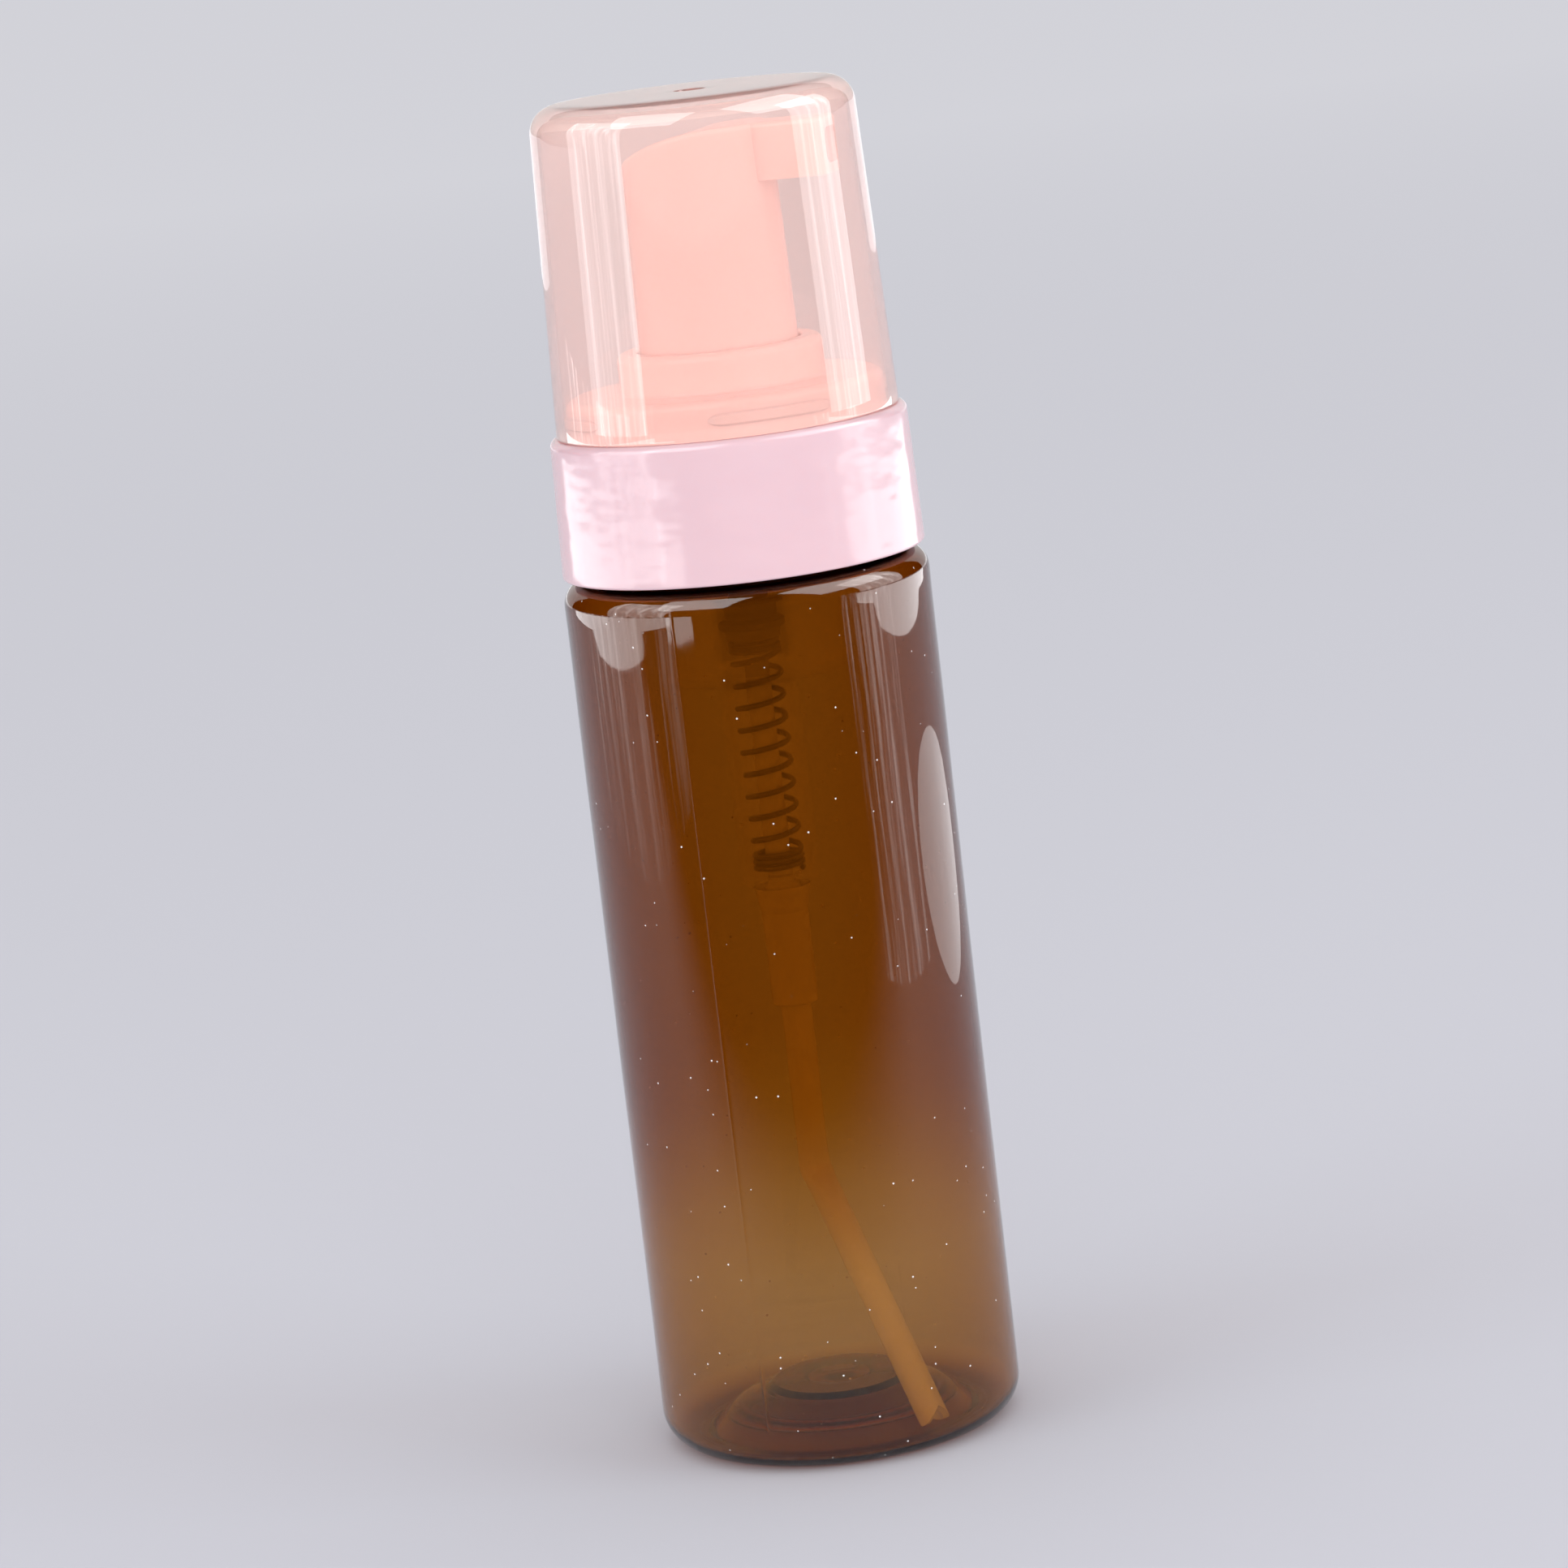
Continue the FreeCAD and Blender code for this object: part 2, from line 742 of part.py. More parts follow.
def make_dip_tube():
    """Tube pushed up into the housing's tail, kinked once towards the bottle's heel."""
    body = new_body("dip_tube")
    top = size("tube_top").value
    bend = size("tube_bend_height").value
    reach = size("tube_end_reach").value
    foot = size("tube_end_height").value
    radius = size("tube_bend_radius").value
    lean = math.atan2(reach, bend - foot)
    setback = radius * math.tan(lean / 2)
    vector = FreeCAD.Vector
    arc_start = vector(0, bend + setback, 0)
    arc_end = vector(setback * math.sin(lean), bend - setback * math.cos(lean), 0)
    arc_middle = vector(radius - radius * math.cos(lean / 2), arc_start.y - radius * math.sin(lean / 2), 0)
    tube_end = vector(reach, foot, 0)
    spine = new_sketch(body, "centre_line")
    spine.addGeometry(Part.LineSegment(vector(0, top, 0), arc_start), False)
    spine.addGeometry(Part.Arc(arc_start, arc_middle, arc_end), False)
    spine.addGeometry(Part.LineSegment(arc_end, tube_end), False)
    section = new_sketch(body, "tube_section", "XY_Plane")
    section.AttachmentOffset = FreeCAD.Placement(vector(0, 0, top), FreeCAD.Rotation())
    draw_circle(section, 0, 0, size("tube_radius"))
    draw_circle(section, 0, 0, size("tube_bore"))
    document.recompute()
    pipe = body.newObject("PartDesign::AdditivePipe", "tube")
    pipe.Profile = section
    pipe.Spine = (spine, ["Edge1", "Edge2", "Edge3"])
    document.recompute()
    run = top - arc_start.y + radius * lean + tube_end.distanceToPoint(arc_end)
    area = math.pi * (size("tube_radius").value ** 2 - size("tube_bore").value ** 2)
    if abs(body.Shape.Volume / (run * area) - 1) > 0.01:
        raise RuntimeError("dip_tube: the tube's volume is not its section times its length")
    body.Placement = heading_placement("tube_heading")
    return body


def make_neck_gasket():
    """Soft washer between the bottle's lip and the housing's flange."""
    body = new_body("neck_gasket")
    low = size("gasket_bottom")
    high = size("flange_bottom") - 0.01
    turn(body, "washer", [
        (size("plug_radius") + 0.05, low),
        (size("flange_radius"), low),
        (size("flange_radius"), high),
        (size("plug_radius") + 0.05, high),
    ])
    return body


def make_ball(label, radius_alias, height_alias):
    """A ball resting on its valve seat."""
    ball = document.addObject("Part::Sphere", label)
    ball.Label = label
    ball.setExpression("Radius", size(radius_alias).text)
    ball.setExpression("Placement.Base.z", size(height_alias).text)
    return ball


def make_inlet_poppet():
    """Suction valve: a round foot on the seat, and a rod up through the spring that the lower stem
    guides."""
    foot = make_ball("poppet_foot", "poppet_foot_radius", "poppet_foot_height")
    rod = document.addObject("Part::Cylinder", "poppet_rod")
    rod.setExpression("Radius", size("poppet_rod_radius").text)
    rod.setExpression("Height", (size("poppet_top") - size("poppet_foot_height")).text)
    rod.setExpression("Placement.Base.z", size("poppet_foot_height").text)
    poppet = document.addObject("Part::Fuse", "inlet_poppet")
    poppet.Label = "inlet_poppet"
    poppet.Base = foot
    poppet.Tool = rod
    return poppet


def make_return_spring():
    """Steel compression spring with closed end coils, standing on the liquid cylinder's floor."""
    body = new_body("return_spring")
    wire = size("wire_radius")
    closed = size("closed_pitch")
    low = size("spring_bottom") + wire
    low_end = low + closed * size("closed_turns_low")
    high = size("spring_top") - wire
    high_start = high - closed * size("closed_turns_high")
    active_pitch = (high_start - low_end) / size("active_turns")
    stretches = (
        ("low_coils", low, closed, size("closed_turns_low")),
        ("active_coils", low_end, active_pitch, size("active_turns")),
        ("high_coils", high_start, closed, size("closed_turns_high")),
    )
    for name, start, pitch, turns in stretches:
        sketch = new_sketch(body, name + "_wire")
        draw_circle(sketch, size("spring_radius"), start, wire)
        helix = body.newObject("PartDesign::AdditiveHelix", name)
        helix.Profile = sketch
        helix.ReferenceAxis = (sketch, ["V_Axis"])
        helix.Mode = "pitch-turns-angle"
        helix.setExpression("Pitch", pitch.text)
        helix.setExpression("Turns", turns.text)
        document.recompute()
    return body


def make_lower_stem():
    """Hollow rod through both pistons: wide below for the poppet's rod, with a cup for the outlet
    ball in its top."""
    body = new_body("lower_stem")
    radius = size("stem_radius")
    cup_floor = size("stem_top") - size("ball_cup_depth")
    turn(body, "rod", [
        (size("stem_guide_bore"), size("stem_bottom")),
        (radius, size("stem_bottom")),
        (radius, size("stem_foot_bottom")),
        (size("stem_foot_radius"), size("stem_foot_bottom")),
        (size("stem_foot_radius"), size("stem_foot_top")),
        (radius, size("stem_foot_top")),
        (radius, size("stem_shelf_bottom")),
        (size("stem_foot_radius"), size("stem_shelf_bottom")),
        (size("stem_foot_radius"), size("stem_shelf_top")),
        (radius, size("stem_shelf_top")),
        (radius, size("stem_top")),
        (size("ball_cup_radius"), size("stem_top")),
        (size("stem_bore"), cup_floor),
        (size("stem_bore"), size("stem_guide_top")),
        (size("stem_guide_bore"), size("stem_guide_top")),
    ])
    return body


def make_liquid_piston():
    """Small double-lipped piston that rides on the lower stem in the liquid cylinder."""
    body = new_body("liquid_piston")
    low = size("piston_bottom")
    high = size("piston_top")
    lip = size("piston_lip")
    waist = size("piston_waist")
    lip_height = size("piston_lip_height")
    turn(body, "seal", [
        (size("piston_bore"), low),
        (lip, low),
        (lip, low + lip_height),
        (waist, low + lip_height + 0.5),
        (waist, high - lip_height - 0.5),
        (lip, high - lip_height),
        (lip, high),
        (size("piston_bore"), high),
    ])
    return body


def make_air_piston():
    """Large cup-shaped piston with a hub on the stem and a ring of air ports in its web."""
    body = new_body("air_piston")
    outer = size("air_piston_radius")
    inner = outer - size("air_piston_wall")
    relief = outer - 0.25
    low = size("air_piston_skirt_bottom")
    high = size("air_piston_skirt_top")
    turn(body, "cup", [
        (size("air_hub_bore"), size("air_hub_bottom")),
        (size("air_hub_radius"), size("air_hub_bottom")),
        (size("air_hub_radius"), size("air_web_bottom")),
        (inner, size("air_web_bottom")),
        (inner, low),
        (outer, low),
        (outer, low + 0.8),
        (relief, low + 1.2),
        (relief, high - 1.2),
        (outer, high - 0.8),
        (outer, high),
        (inner, high),
        (inner, size("air_web_top")),
        (size("air_hub_radius"), size("air_web_top")),
        (size("air_hub_radius"), size("air_hub_top")),
        (size("air_hub_bore"), size("air_hub_top")),
    ])
    sketch = new_sketch(body, "air_port_outline", "XY_Plane")
    draw_circle(sketch, size("air_port_circle"), 0, size("air_port_radius"))
    port = cut_through(body, "air_port", sketch, size("air_web_top") * 2 + 10)
    repeat_around(body, "air_ports", port, sketch, size("air_port_count"))
    return body


def make_air_flap():
    """Thin soft ring under the air piston's web that closes the air ports."""
    body = new_body("air_flap")
    high = size("air_web_bottom") - 0.02
    low = high - size("flap_thickness")
    turn(body, "ring", [
        (size("flap_inner"), low - 0.6),
        (size("flap_inner") + 0.6, low - 0.6),
        (size("flap_inner") + 0.9, low),
        (size("flap_outer"), low + 0.1),
        (size("flap_outer"), high),
        (size("flap_inner"), high),
    ])
    return body


def make_upper_stem():
    """Connector between the lower stem and the head, holding the outlet ball and mixing chamber."""
    body = new_body("upper_stem")
    turn(body, "connector", [
        (size("upper_fit_bore"), size("upper_bottom")),
        (size("upper_waist"), size("upper_bottom")),
        (size("upper_waist"), size("upper_step")),
        (size("upper_radius"), size("upper_step")),
        (size("upper_radius"), size("upper_top")),
        (size("upper_chamber_bore"), size("upper_top")),
        (size("upper_chamber_bore"), size("upper_chamber_bottom")),
        (size("upper_port_bore"), size("upper_chamber_bottom")),
        (size("upper_port_bore"), size("upper_ball_top")),
        (size("upper_ball_bore"), size("upper_ball_top")),
        (size("upper_ball_bore"), size("stem_top") + 0.05),
        (size("upper_fit_bore"), size("stem_top") + 0.05),
    ])
    return body


def make_mixing_plug():
    """Small drilled plug over the ball that splits soap and air into jets below the screens."""
    body = new_body("mixing_plug")
    turn(body, "disc", [
        (0, size("plug_disc_bottom")),
        (size("plug_disc_radius"), size("plug_disc_bottom")),
        (size("plug_disc_radius"), size("plug_disc_top")),
        (size("plug_nose_radius"), size("plug_disc_top")),
        (size("plug_nose_radius") / 2, size("plug_nose_top")),
        (0, size("plug_nose_top")),
    ])
    sketch = new_sketch(body, "jet_outline", "XY_Plane")
    draw_circle(sketch, size("jet_circle"), 0, size("jet_radius"))
    jet = cut_through(body, "jet", sketch, size("plug_nose_top") * 2 + 10)
    repeat_around(body, "jets", jet, sketch, size("jet_count"))
    return body


def make_screen_holder():
    """Sleeve inside the head that carries a screen at each end."""
    body = new_body("screen_holder")
    low = size("holder_bottom")
    high = size("holder_top")
    turn(body, "sleeve", [
        (size("holder_bore"), low),
        (size("holder_radius"), low),
        (size("holder_radius"), high),
        (size("holder_bore"), high),
    ])
    return body


def make_screen(label, height, wire, pitch):
    """A woven disc: two layers of crossing wires welded to a thin rim."""
    rim_outer = size("screen_radius").value
    rim_inner = rim_outer - size("screen_rim").value
    thickness = 4 * wire
    up = FreeCAD.Vector(0, 0, 1)
    base = FreeCAD.Vector(0, 0, -thickness / 2)
    rim = Part.makeCylinder(rim_outer, thickness, base, up)
    rim = rim.cut(Part.makeCylinder(rim_inner, thickness, base, up))
    wires = []
    count = int(rim_inner / pitch)
    for step in range(-count, count + 1):
        offset = step * pitch
        half = math.sqrt((rim_inner + 0.3) ** 2 - offset ** 2)
        along_x = FreeCAD.Vector(-half, offset, wire * 0.7)
        along_y = FreeCAD.Vector(offset, -half, -wire * 0.7)
        wires.append(Part.makeCylinder(wire, 2 * half, along_x, FreeCAD.Vector(1, 0, 0)))
        wires.append(Part.makeCylinder(wire, 2 * half, along_y, FreeCAD.Vector(0, 1, 0)))
    screen = document.addObject("Part::Feature", label)
    screen.Label = label
    screen.Shape = rim.multiFuse(wires).removeSplitter()
    screen.Placement = FreeCAD.Placement(FreeCAD.Vector(0, 0, height), FreeCAD.Rotation())
    return screen


parts = [
    make_bottle(),
    make_screw_collar(),
    make_chaplet(),
    make_overcap(),
    make_actuator(),
    make_pump_housing(),
    make_dip_tube(),
    make_neck_gasket(),
    make_inlet_poppet(),
    make_ball("outlet_ball", "outlet_ball_radius", "outlet_ball_height"),
    make_return_spring(),
    make_lower_stem(),
    make_liquid_piston(),
    make_air_piston(),
    make_air_flap(),
    make_upper_stem(),
    make_mixing_plug(),
    make_screen_holder(),
]
coarse_wire = size("coarse_wire").value
fine_wire = size("fine_wire").value
coarse_height = size("holder_bottom").value - 2 * coarse_wire - 0.02
fine_height = size("holder_top").value + 2 * fine_wire + 0.02
parts.append(make_screen("coarse_screen", coarse_height, coarse_wire, size("coarse_pitch").value))
parts.append(make_screen("fine_screen", fine_height, fine_wire, size("fine_pitch").value))

document.recompute()
for item in document.Objects:
    if "Invalid" in item.State or "Error" in item.State:
        raise RuntimeError(f"{item.Label} failed: {item.State}")
for part in parts:
    if part.Shape.isNull() or not part.Shape.isValid():
        raise RuntimeError(f"{part.Label} has no valid shape")
    if len(part.Shape.Solids) != 1:
        raise RuntimeError(f"{part.Label} has {len(part.Shape.Solids)} solids")

os.makedirs("parts", exist_ok=True)
for part in parts:
    part.Shape.exportStep(os.path.join("parts", part.Label + ".step"))
    box = part.Shape.BoundBox
    print(f"{part.Label}: {part.Shape.Volume:.1f} mm3, z {box.ZMin:.2f} to {box.ZMax:.2f}")
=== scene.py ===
"""Looks for a foaming soap pump on an amber bottle: lathed mouldings, wire spring, kinked dip tube.

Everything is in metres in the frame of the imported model. Small sizes are written in millimetres
and turned to metres by MM.
"""
import math

import bmesh
import bpy
from mathutils import Matrix, Vector, noise


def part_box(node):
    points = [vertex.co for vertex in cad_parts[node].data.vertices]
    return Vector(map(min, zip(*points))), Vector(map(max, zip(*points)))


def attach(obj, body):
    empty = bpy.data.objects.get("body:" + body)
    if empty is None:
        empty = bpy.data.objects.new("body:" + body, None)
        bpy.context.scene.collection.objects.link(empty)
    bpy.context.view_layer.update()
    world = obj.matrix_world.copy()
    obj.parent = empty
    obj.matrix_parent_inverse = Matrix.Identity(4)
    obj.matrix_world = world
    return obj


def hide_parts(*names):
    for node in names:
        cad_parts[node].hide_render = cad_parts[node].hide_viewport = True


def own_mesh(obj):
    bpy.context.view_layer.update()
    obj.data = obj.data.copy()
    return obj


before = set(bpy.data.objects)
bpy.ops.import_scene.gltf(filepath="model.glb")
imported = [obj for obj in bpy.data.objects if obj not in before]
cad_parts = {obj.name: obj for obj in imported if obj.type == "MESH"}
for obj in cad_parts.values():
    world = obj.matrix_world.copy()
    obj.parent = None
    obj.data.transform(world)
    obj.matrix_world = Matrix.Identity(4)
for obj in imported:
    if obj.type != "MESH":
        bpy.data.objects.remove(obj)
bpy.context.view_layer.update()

MM = 0.001
TURN = 2 * math.pi
UP = (0, 0, 1)
ROUND_STEPS = 10
LATHE_SEGMENTS = 192
AXIS_RADIUS = 1e-7


# ---------------------------------------------------------------- sizes read from the frame

def low(name):
    """Lowest corner of a node."""
    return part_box(name)[0]


def high(name):
    """Highest corner of a node."""
    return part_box(name)[1]


def outer_radius(name):
    """Largest radius of a round node."""
    return high(name)[1]


# ---------------------------------------------------------------- outlines and lathed solids

def soften(corners):
    """Turn corners (x, z) or (x, z, radius) of a closed outline into points, with arcs for the radii."""
    points = []
    count = len(corners)
    for index, corner in enumerate(corners):
        here = Vector(corner[:2])
        radius = corner[2] if len(corner) > 2 else 0
        if not radius:
            points.append(here)
            continue
        back = (Vector(corners[index - 1][:2]) - here).normalized()
        ahead = (Vector(corners[(index + 1) % count][:2]) - here).normalized()
        half = back.angle(ahead) / 2
        setback = radius / math.tan(half)
        centre = here + (back + ahead).normalized() * (radius / math.sin(half))
        start = here + back * setback - centre
        end = here + ahead * setback - centre
        turn = math.atan2(start.x * end.y - start.y * end.x, start.dot(end))
        for step in range(ROUND_STEPS + 1):
            spin = Matrix.Rotation(turn * step / ROUND_STEPS, 2)
            points.append(centre + spin @ start)
    return points


def divide(points, longest):
    """Add points along the long straight stretches of a closed outline."""
    fine = []
    for index, here in enumerate(points):
        ahead = points[(index + 1) % len(points)]
        pieces = max(1, math.ceil((ahead - here).length / longest))
        for step in range(pieces):
            fine.append(here.lerp(ahead, step / pieces))
    return fine


def even_angles(segments=LATHE_SEGMENTS):
    """Angles of equal steps round a turn."""
    return [TURN * step / segments for step in range(segments)]


def lathe_into(mesh, points, angles=None):
    """Spin a closed outline about Z through the angles. Points on the axis become one vertex."""
    angles = angles or even_angles()
    segments = len(angles)
    rings = []
    for point in points:
        if point.x < AXIS_RADIUS:
            rings.append([mesh.verts.new((0, 0, point.y))])
            continue
        rings.append([mesh.verts.new((point.x * math.cos(angle), point.x * math.sin(angle), point.y))
                      for angle in angles])
    for index, ring in enumerate(rings):
        after = rings[(index + 1) % len(rings)]
        if len(ring) == 1 and len(after) == 1:
            continue
        for step in range(segments):
            ahead = (step + 1) % segments
            corners = [ring[step % len(ring)], after[step % len(after)]]
            if len(after) > 1:
                corners.append(after[ahead])
            if len(ring) > 1:
                corners.append(ring[ahead])
            mesh.faces.new(corners)


THREAD_PITCH = 4.2 * MM
THREAD_TURNS = 1.5
THREAD_STEPS = 64
THREAD_DEPTH = 1.3 * MM
THREAD_SUNK = 0.2 * MM
THREAD_HALF_ROOT = 1.0 * MM
THREAD_HALF_CREST = 0.5 * MM
RUN_OUT = 8
LEAST_DEPTH = 0.05
LEAST_WIDTH = 0.4


def thread_into(mesh, wall_radius, side, start):
    """One right-hand thread that tapers away at both ends: side is 1 outside a wall and -1 inside it."""
    root = wall_radius - side * THREAD_SUNK
    crest = wall_radius + side * THREAD_DEPTH
    section = [(root, -THREAD_HALF_ROOT), (crest, -THREAD_HALF_CREST), (crest, THREAD_HALF_CREST),
               (root, THREAD_HALF_ROOT)]
    steps = round(THREAD_TURNS * THREAD_STEPS)
    rings = []
    for step in range(steps + 1):
        share = step / steps
        depth = max(LEAST_DEPTH, min(1.0, RUN_OUT * share, RUN_OUT * (1 - share)))
        width = LEAST_WIDTH + (1 - LEAST_WIDTH) * depth
        angle = TURN * share * THREAD_TURNS
        rise = start + THREAD_PITCH * THREAD_TURNS * share
        rings.append(ring_at(mesh, angle, [(root + (radius - root) * depth, rise + height * width)
                                           for radius, height in section]))
    close_tube(mesh, rings)


def ring_at(mesh, angle, section):
    """New vertices at the (radius, height) points of a section, turned to an angle about Z."""
    return [mesh.verts.new((radius * math.cos(angle), radius * math.sin(angle), height))
            for radius, height in section]


def close_tube(mesh, rings):
    """Skin a list of equal rings and cap both ends."""
    count = len(rings[0])
    for one, two in zip(rings, rings[1:]):
        for index in range(count):
            ahead = (index + 1) % count
            mesh.faces.new((one[index], two[index], two[ahead], one[ahead]))
    mesh.faces.new(rings[0])
    mesh.faces.new(list(reversed(rings[-1])))


def finish_mesh(name, mesh, sharp_degrees=40):
    """Make an object of a bmesh with its faces turned outwards and shaded smooth."""
    bmesh.ops.recalc_face_normals(mesh, faces=mesh.faces)
    data = bpy.data.meshes.new(name)
    mesh.to_mesh(data)
    mesh.free()
    for face in data.polygons:
        face.use_smooth = True
    data.set_sharp_from_angle(angle=math.radians(sharp_degrees))
    piece = bpy.data.objects.new(name, data)
    bpy.context.scene.collection.objects.link(piece)
    return piece


def lathe(name, corners, longest, segments=LATHE_SEGMENTS):
    """A lathed piece from softened corners."""
    mesh = bmesh.new()
    lathe_into(mesh, divide(soften(corners), longest), even_angles(segments))
    return finish_mesh(name, mesh)


def stand_in(piece, body, node, material):
    """Put a piece on its body in place of a CAD node, with its finish."""
    piece.data.materials.append(material)
    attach(piece, body)
    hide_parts(node)
    return piece


# ---------------------------------------------------------------- materials

def paint(code):
    """A colour from its sRGB hex code, in linear light."""
    channels = []
    for start in (0, 2, 4):
        value = int(code[start:start + 2], 16) / 255
        channels.append(value / 12.92 if value <= 0.04045 else ((value + 0.055) / 1.055) ** 2.4)
    return (*channels, 1.0)


def add_node(tree, kind, values=None, links=None, **settings):
    """Add a node, set its properties and inputs, and link other nodes' outputs to it."""
    made = tree.nodes.new(kind)
    for key, value in settings.items():
        setattr(made, key, value)
    for key, value in (values or {}).items():
        made.inputs[key].default_value = value
    for key, output in (links or {}).items():
        tree.links.new(output, made.inputs[key])
    return made


def new_material(name):
    """An empty node material and its tree."""
    material = bpy.data.materials.new(name)
    material.use_nodes = True
    material.node_tree.nodes.clear()
    return material, material.node_tree


def surface_place(tree):
    """Object coordinates, in metres."""
    return add_node(tree, "ShaderNodeTexCoord").outputs["Object"]


def wavy_bump(tree, place, patch, height, detail=1.0, stretch=(1, 1, 1)):
    """Slow swell of a moulded or blown wall: patch is its length and height its depth, in metres."""
    spread = add_node(tree, "ShaderNodeMapping", {"Scale": stretch}, {"Vector": place})
    swell = add_node(tree, "ShaderNodeTexNoise", {"Scale": 1 / patch, "Detail": detail},
                     {"Vector": spread.outputs["Vector"]})
    return add_node(tree, "ShaderNodeBump", {"Strength": 1.0, "Distance": height},
                    {"Height": swell.outputs["Fac"]}).outputs["Normal"]


def roughness_patches(tree, place, patch, least, most):
    """Roughness that drifts a little over the surface, as handling and the mould leave it."""
    spots = add_node(tree, "ShaderNodeTexNoise", {"Scale": 1 / patch, "Detail": 4.0}, {"Vector": place})
    return add_node(tree, "ShaderNodeMapRange", {"To Min": least, "To Max": most},
                    {"Value": spots.outputs["Fac"]}).outputs["Result"]


def mottled_colour(tree, place, patch, one, two):
    """Two close shades that drift into each other."""
    cloud = add_node(tree, "ShaderNodeTexNoise", {"Scale": 1 / patch, "Detail": 3.0}, {"Vector": place})
    ramp = add_node(tree, "ShaderNodeValToRGB", links={"Fac": cloud.outputs["Fac"]})
    ramp.color_ramp.elements[0].position = 0.3
    ramp.color_ramp.elements[0].color = one
    ramp.color_ramp.elements[1].position = 0.7
    ramp.color_ramp.elements[1].color = two
    return ramp.outputs["Color"]


SPECK_CLEARNESS = 0.25
SPECK_CORE = 0.6


def lint(tree, place, spacing, size, haze):
    """How clear each point is: least on scattered specks of dust, and haze short of full elsewhere."""
    cells = add_node(tree, "ShaderNodeTexVoronoi", {"Scale": 1 / spacing, "Randomness": 1.0},
                     {"Vector": place})
    return add_node(tree, "ShaderNodeMapRange",
                    {"From Min": size / spacing * SPECK_CORE, "From Max": size / spacing,
                     "To Min": SPECK_CLEARNESS, "To Max": 1 - haze},
                    {"Value": cells.outputs["Distance"]}).outputs["Result"]


HANDLING_PATCH = 12 * MM
COLOUR_PATCH = 14 * MM
GLOSS_PATCH = 6 * MM


def clear_shell(name, glass, shade, density, bump, least, most, dust, haze):
    """A see-through plastic: clear gloss outside, its tint taken up in the wall's thickness.
    Shadow rays pass straight through, so the wall's shadow has its tint. bump and dust hold
    (patch, height, stretch) and (spacing, size)."""
    material, tree = new_material(name)
    place = surface_place(tree)
    patch, swell, stretch = bump
    normal = wavy_bump(tree, place, patch, swell, 2.0, stretch)
    rough = roughness_patches(tree, place, HANDLING_PATCH, least, most)
    clear = lint(tree, place, *dust, haze)
    shell = add_node(tree, "ShaderNodeBsdfPrincipled", glass,
                     {"Normal": normal, "Roughness": rough, "Transmission Weight": clear})
    through = add_node(tree, "ShaderNodeBsdfTransparent", {"Color": (1, 1, 1, 1)})
    path = add_node(tree, "ShaderNodeLightPath")
    mixed = add_node(tree, "ShaderNodeMixShader", links={0: path.outputs["Is Shadow Ray"]})
    tree.links.new(shell.outputs["BSDF"], mixed.inputs[1])
    tree.links.new(through.outputs["BSDF"], mixed.inputs[2])
    inside = add_node(tree, "ShaderNodeVolumeAbsorption", {"Color": shade, "Density": density})
    add_node(tree, "ShaderNodeOutputMaterial", links={"Surface": mixed.outputs["Shader"],
                                                     "Volume": inside.outputs["Volume"]})
    return material


def moulded(name, one, two, values, least, most, patch=9 * MM, swell=0.02 * MM, stretch=(1, 1, 1)):
    """An injection-moulded plastic with a slow colour drift and the mould's own swell."""
    material, tree = new_material(name)
    place = surface_place(tree)
    colour = mottled_colour(tree, place, COLOUR_PATCH, one, two)
    rough = roughness_patches(tree, place, GLOSS_PATCH, least, most)
    normal = wavy_bump(tree, place, patch, swell, 1.0, stretch)
    links = {"Base Color": colour, "Roughness": rough, "Normal": normal}
    skin = add_node(tree, "ShaderNodeBsdfPrincipled", values, links)
    add_node(tree, "ShaderNodeOutputMaterial", links={"Surface": skin.outputs["BSDF"]})
    return material


# Amber PET, stretch-blown: a clear gloss with faint upright draw lines, and a brown that deepens
# where the wall is seen edge on.
amber_pet = clear_shell("amber_pet_blown", {"Base Color": paint("FFFFFF"), "IOR": 1.57},
                        paint("E6C62D"), 3700.0, (2.6 * MM, 0.012 * MM, (1, 1, 0.06)), 0.01, 0.035,
                        (2.6 * MM, 0.15 * MM), 0.0)
# Clear styrene tinted pink, injection-moulded: clean highlights, a pale haze and peach edges.
clear_pink_styrene = clear_shell("clear_pink_styrene_moulded",
                                 {"Base Color": paint("FFFAF8"), "IOR": 1.57}, paint("FFCFC0"), 220.0,
                                 (12 * MM, 0.02 * MM, (1, 1, 0.3)), 0.01, 0.03, (5 * MM, 0.12 * MM), 0.14)
# Pale cool pink polypropylene, moulded in a polished tool: a bright gloss, with shallow level sinks
# over the thread inside.
pink_polypropylene = moulded("pale_pink_polypropylene_polished", paint("DFBFC5"), paint("DCBBC2"),
                             {"IOR": 1.5, "Subsurface Weight": 0.25, "Subsurface Scale": 1.5 * MM,
                              "Subsurface Radius": (1.0, 0.6, 0.5)}, 0.10, 0.17, 6 * MM, 0.12 * MM,
                             (1, 1, 2.2))
# Peach pink polypropylene, moulded: a soft satin gloss that glows a little where it is thin.
peach_polypropylene = moulded("peach_polypropylene_satin", paint("FFD9D2"), paint("FED4CC"),
                              {"IOR": 1.5, "Subsurface Weight": 0.3, "Subsurface Scale": 1.5 * MM,
                               "Subsurface Radius": (1.0, 0.6, 0.5)}, 0.18, 0.26)
# Natural polypropylene, unpigmented and moulded: a thin milky wall that the spring shows through.
natural_polypropylene = moulded("natural_polypropylene_moulded", paint("FBFAF4"), paint("F6F4EC"),
                                {"IOR": 1.49, "Alpha": 0.17}, 0.18, 0.28)
# Natural polyethylene, extruded as tube: waxy and a little cloudier than the housing.
natural_polyethylene = moulded("natural_polyethylene_extruded", paint("FBF9F2"), paint("F6F3EA"),
                               {"IOR": 1.51, "Alpha": 0.6}, 0.22, 0.32)
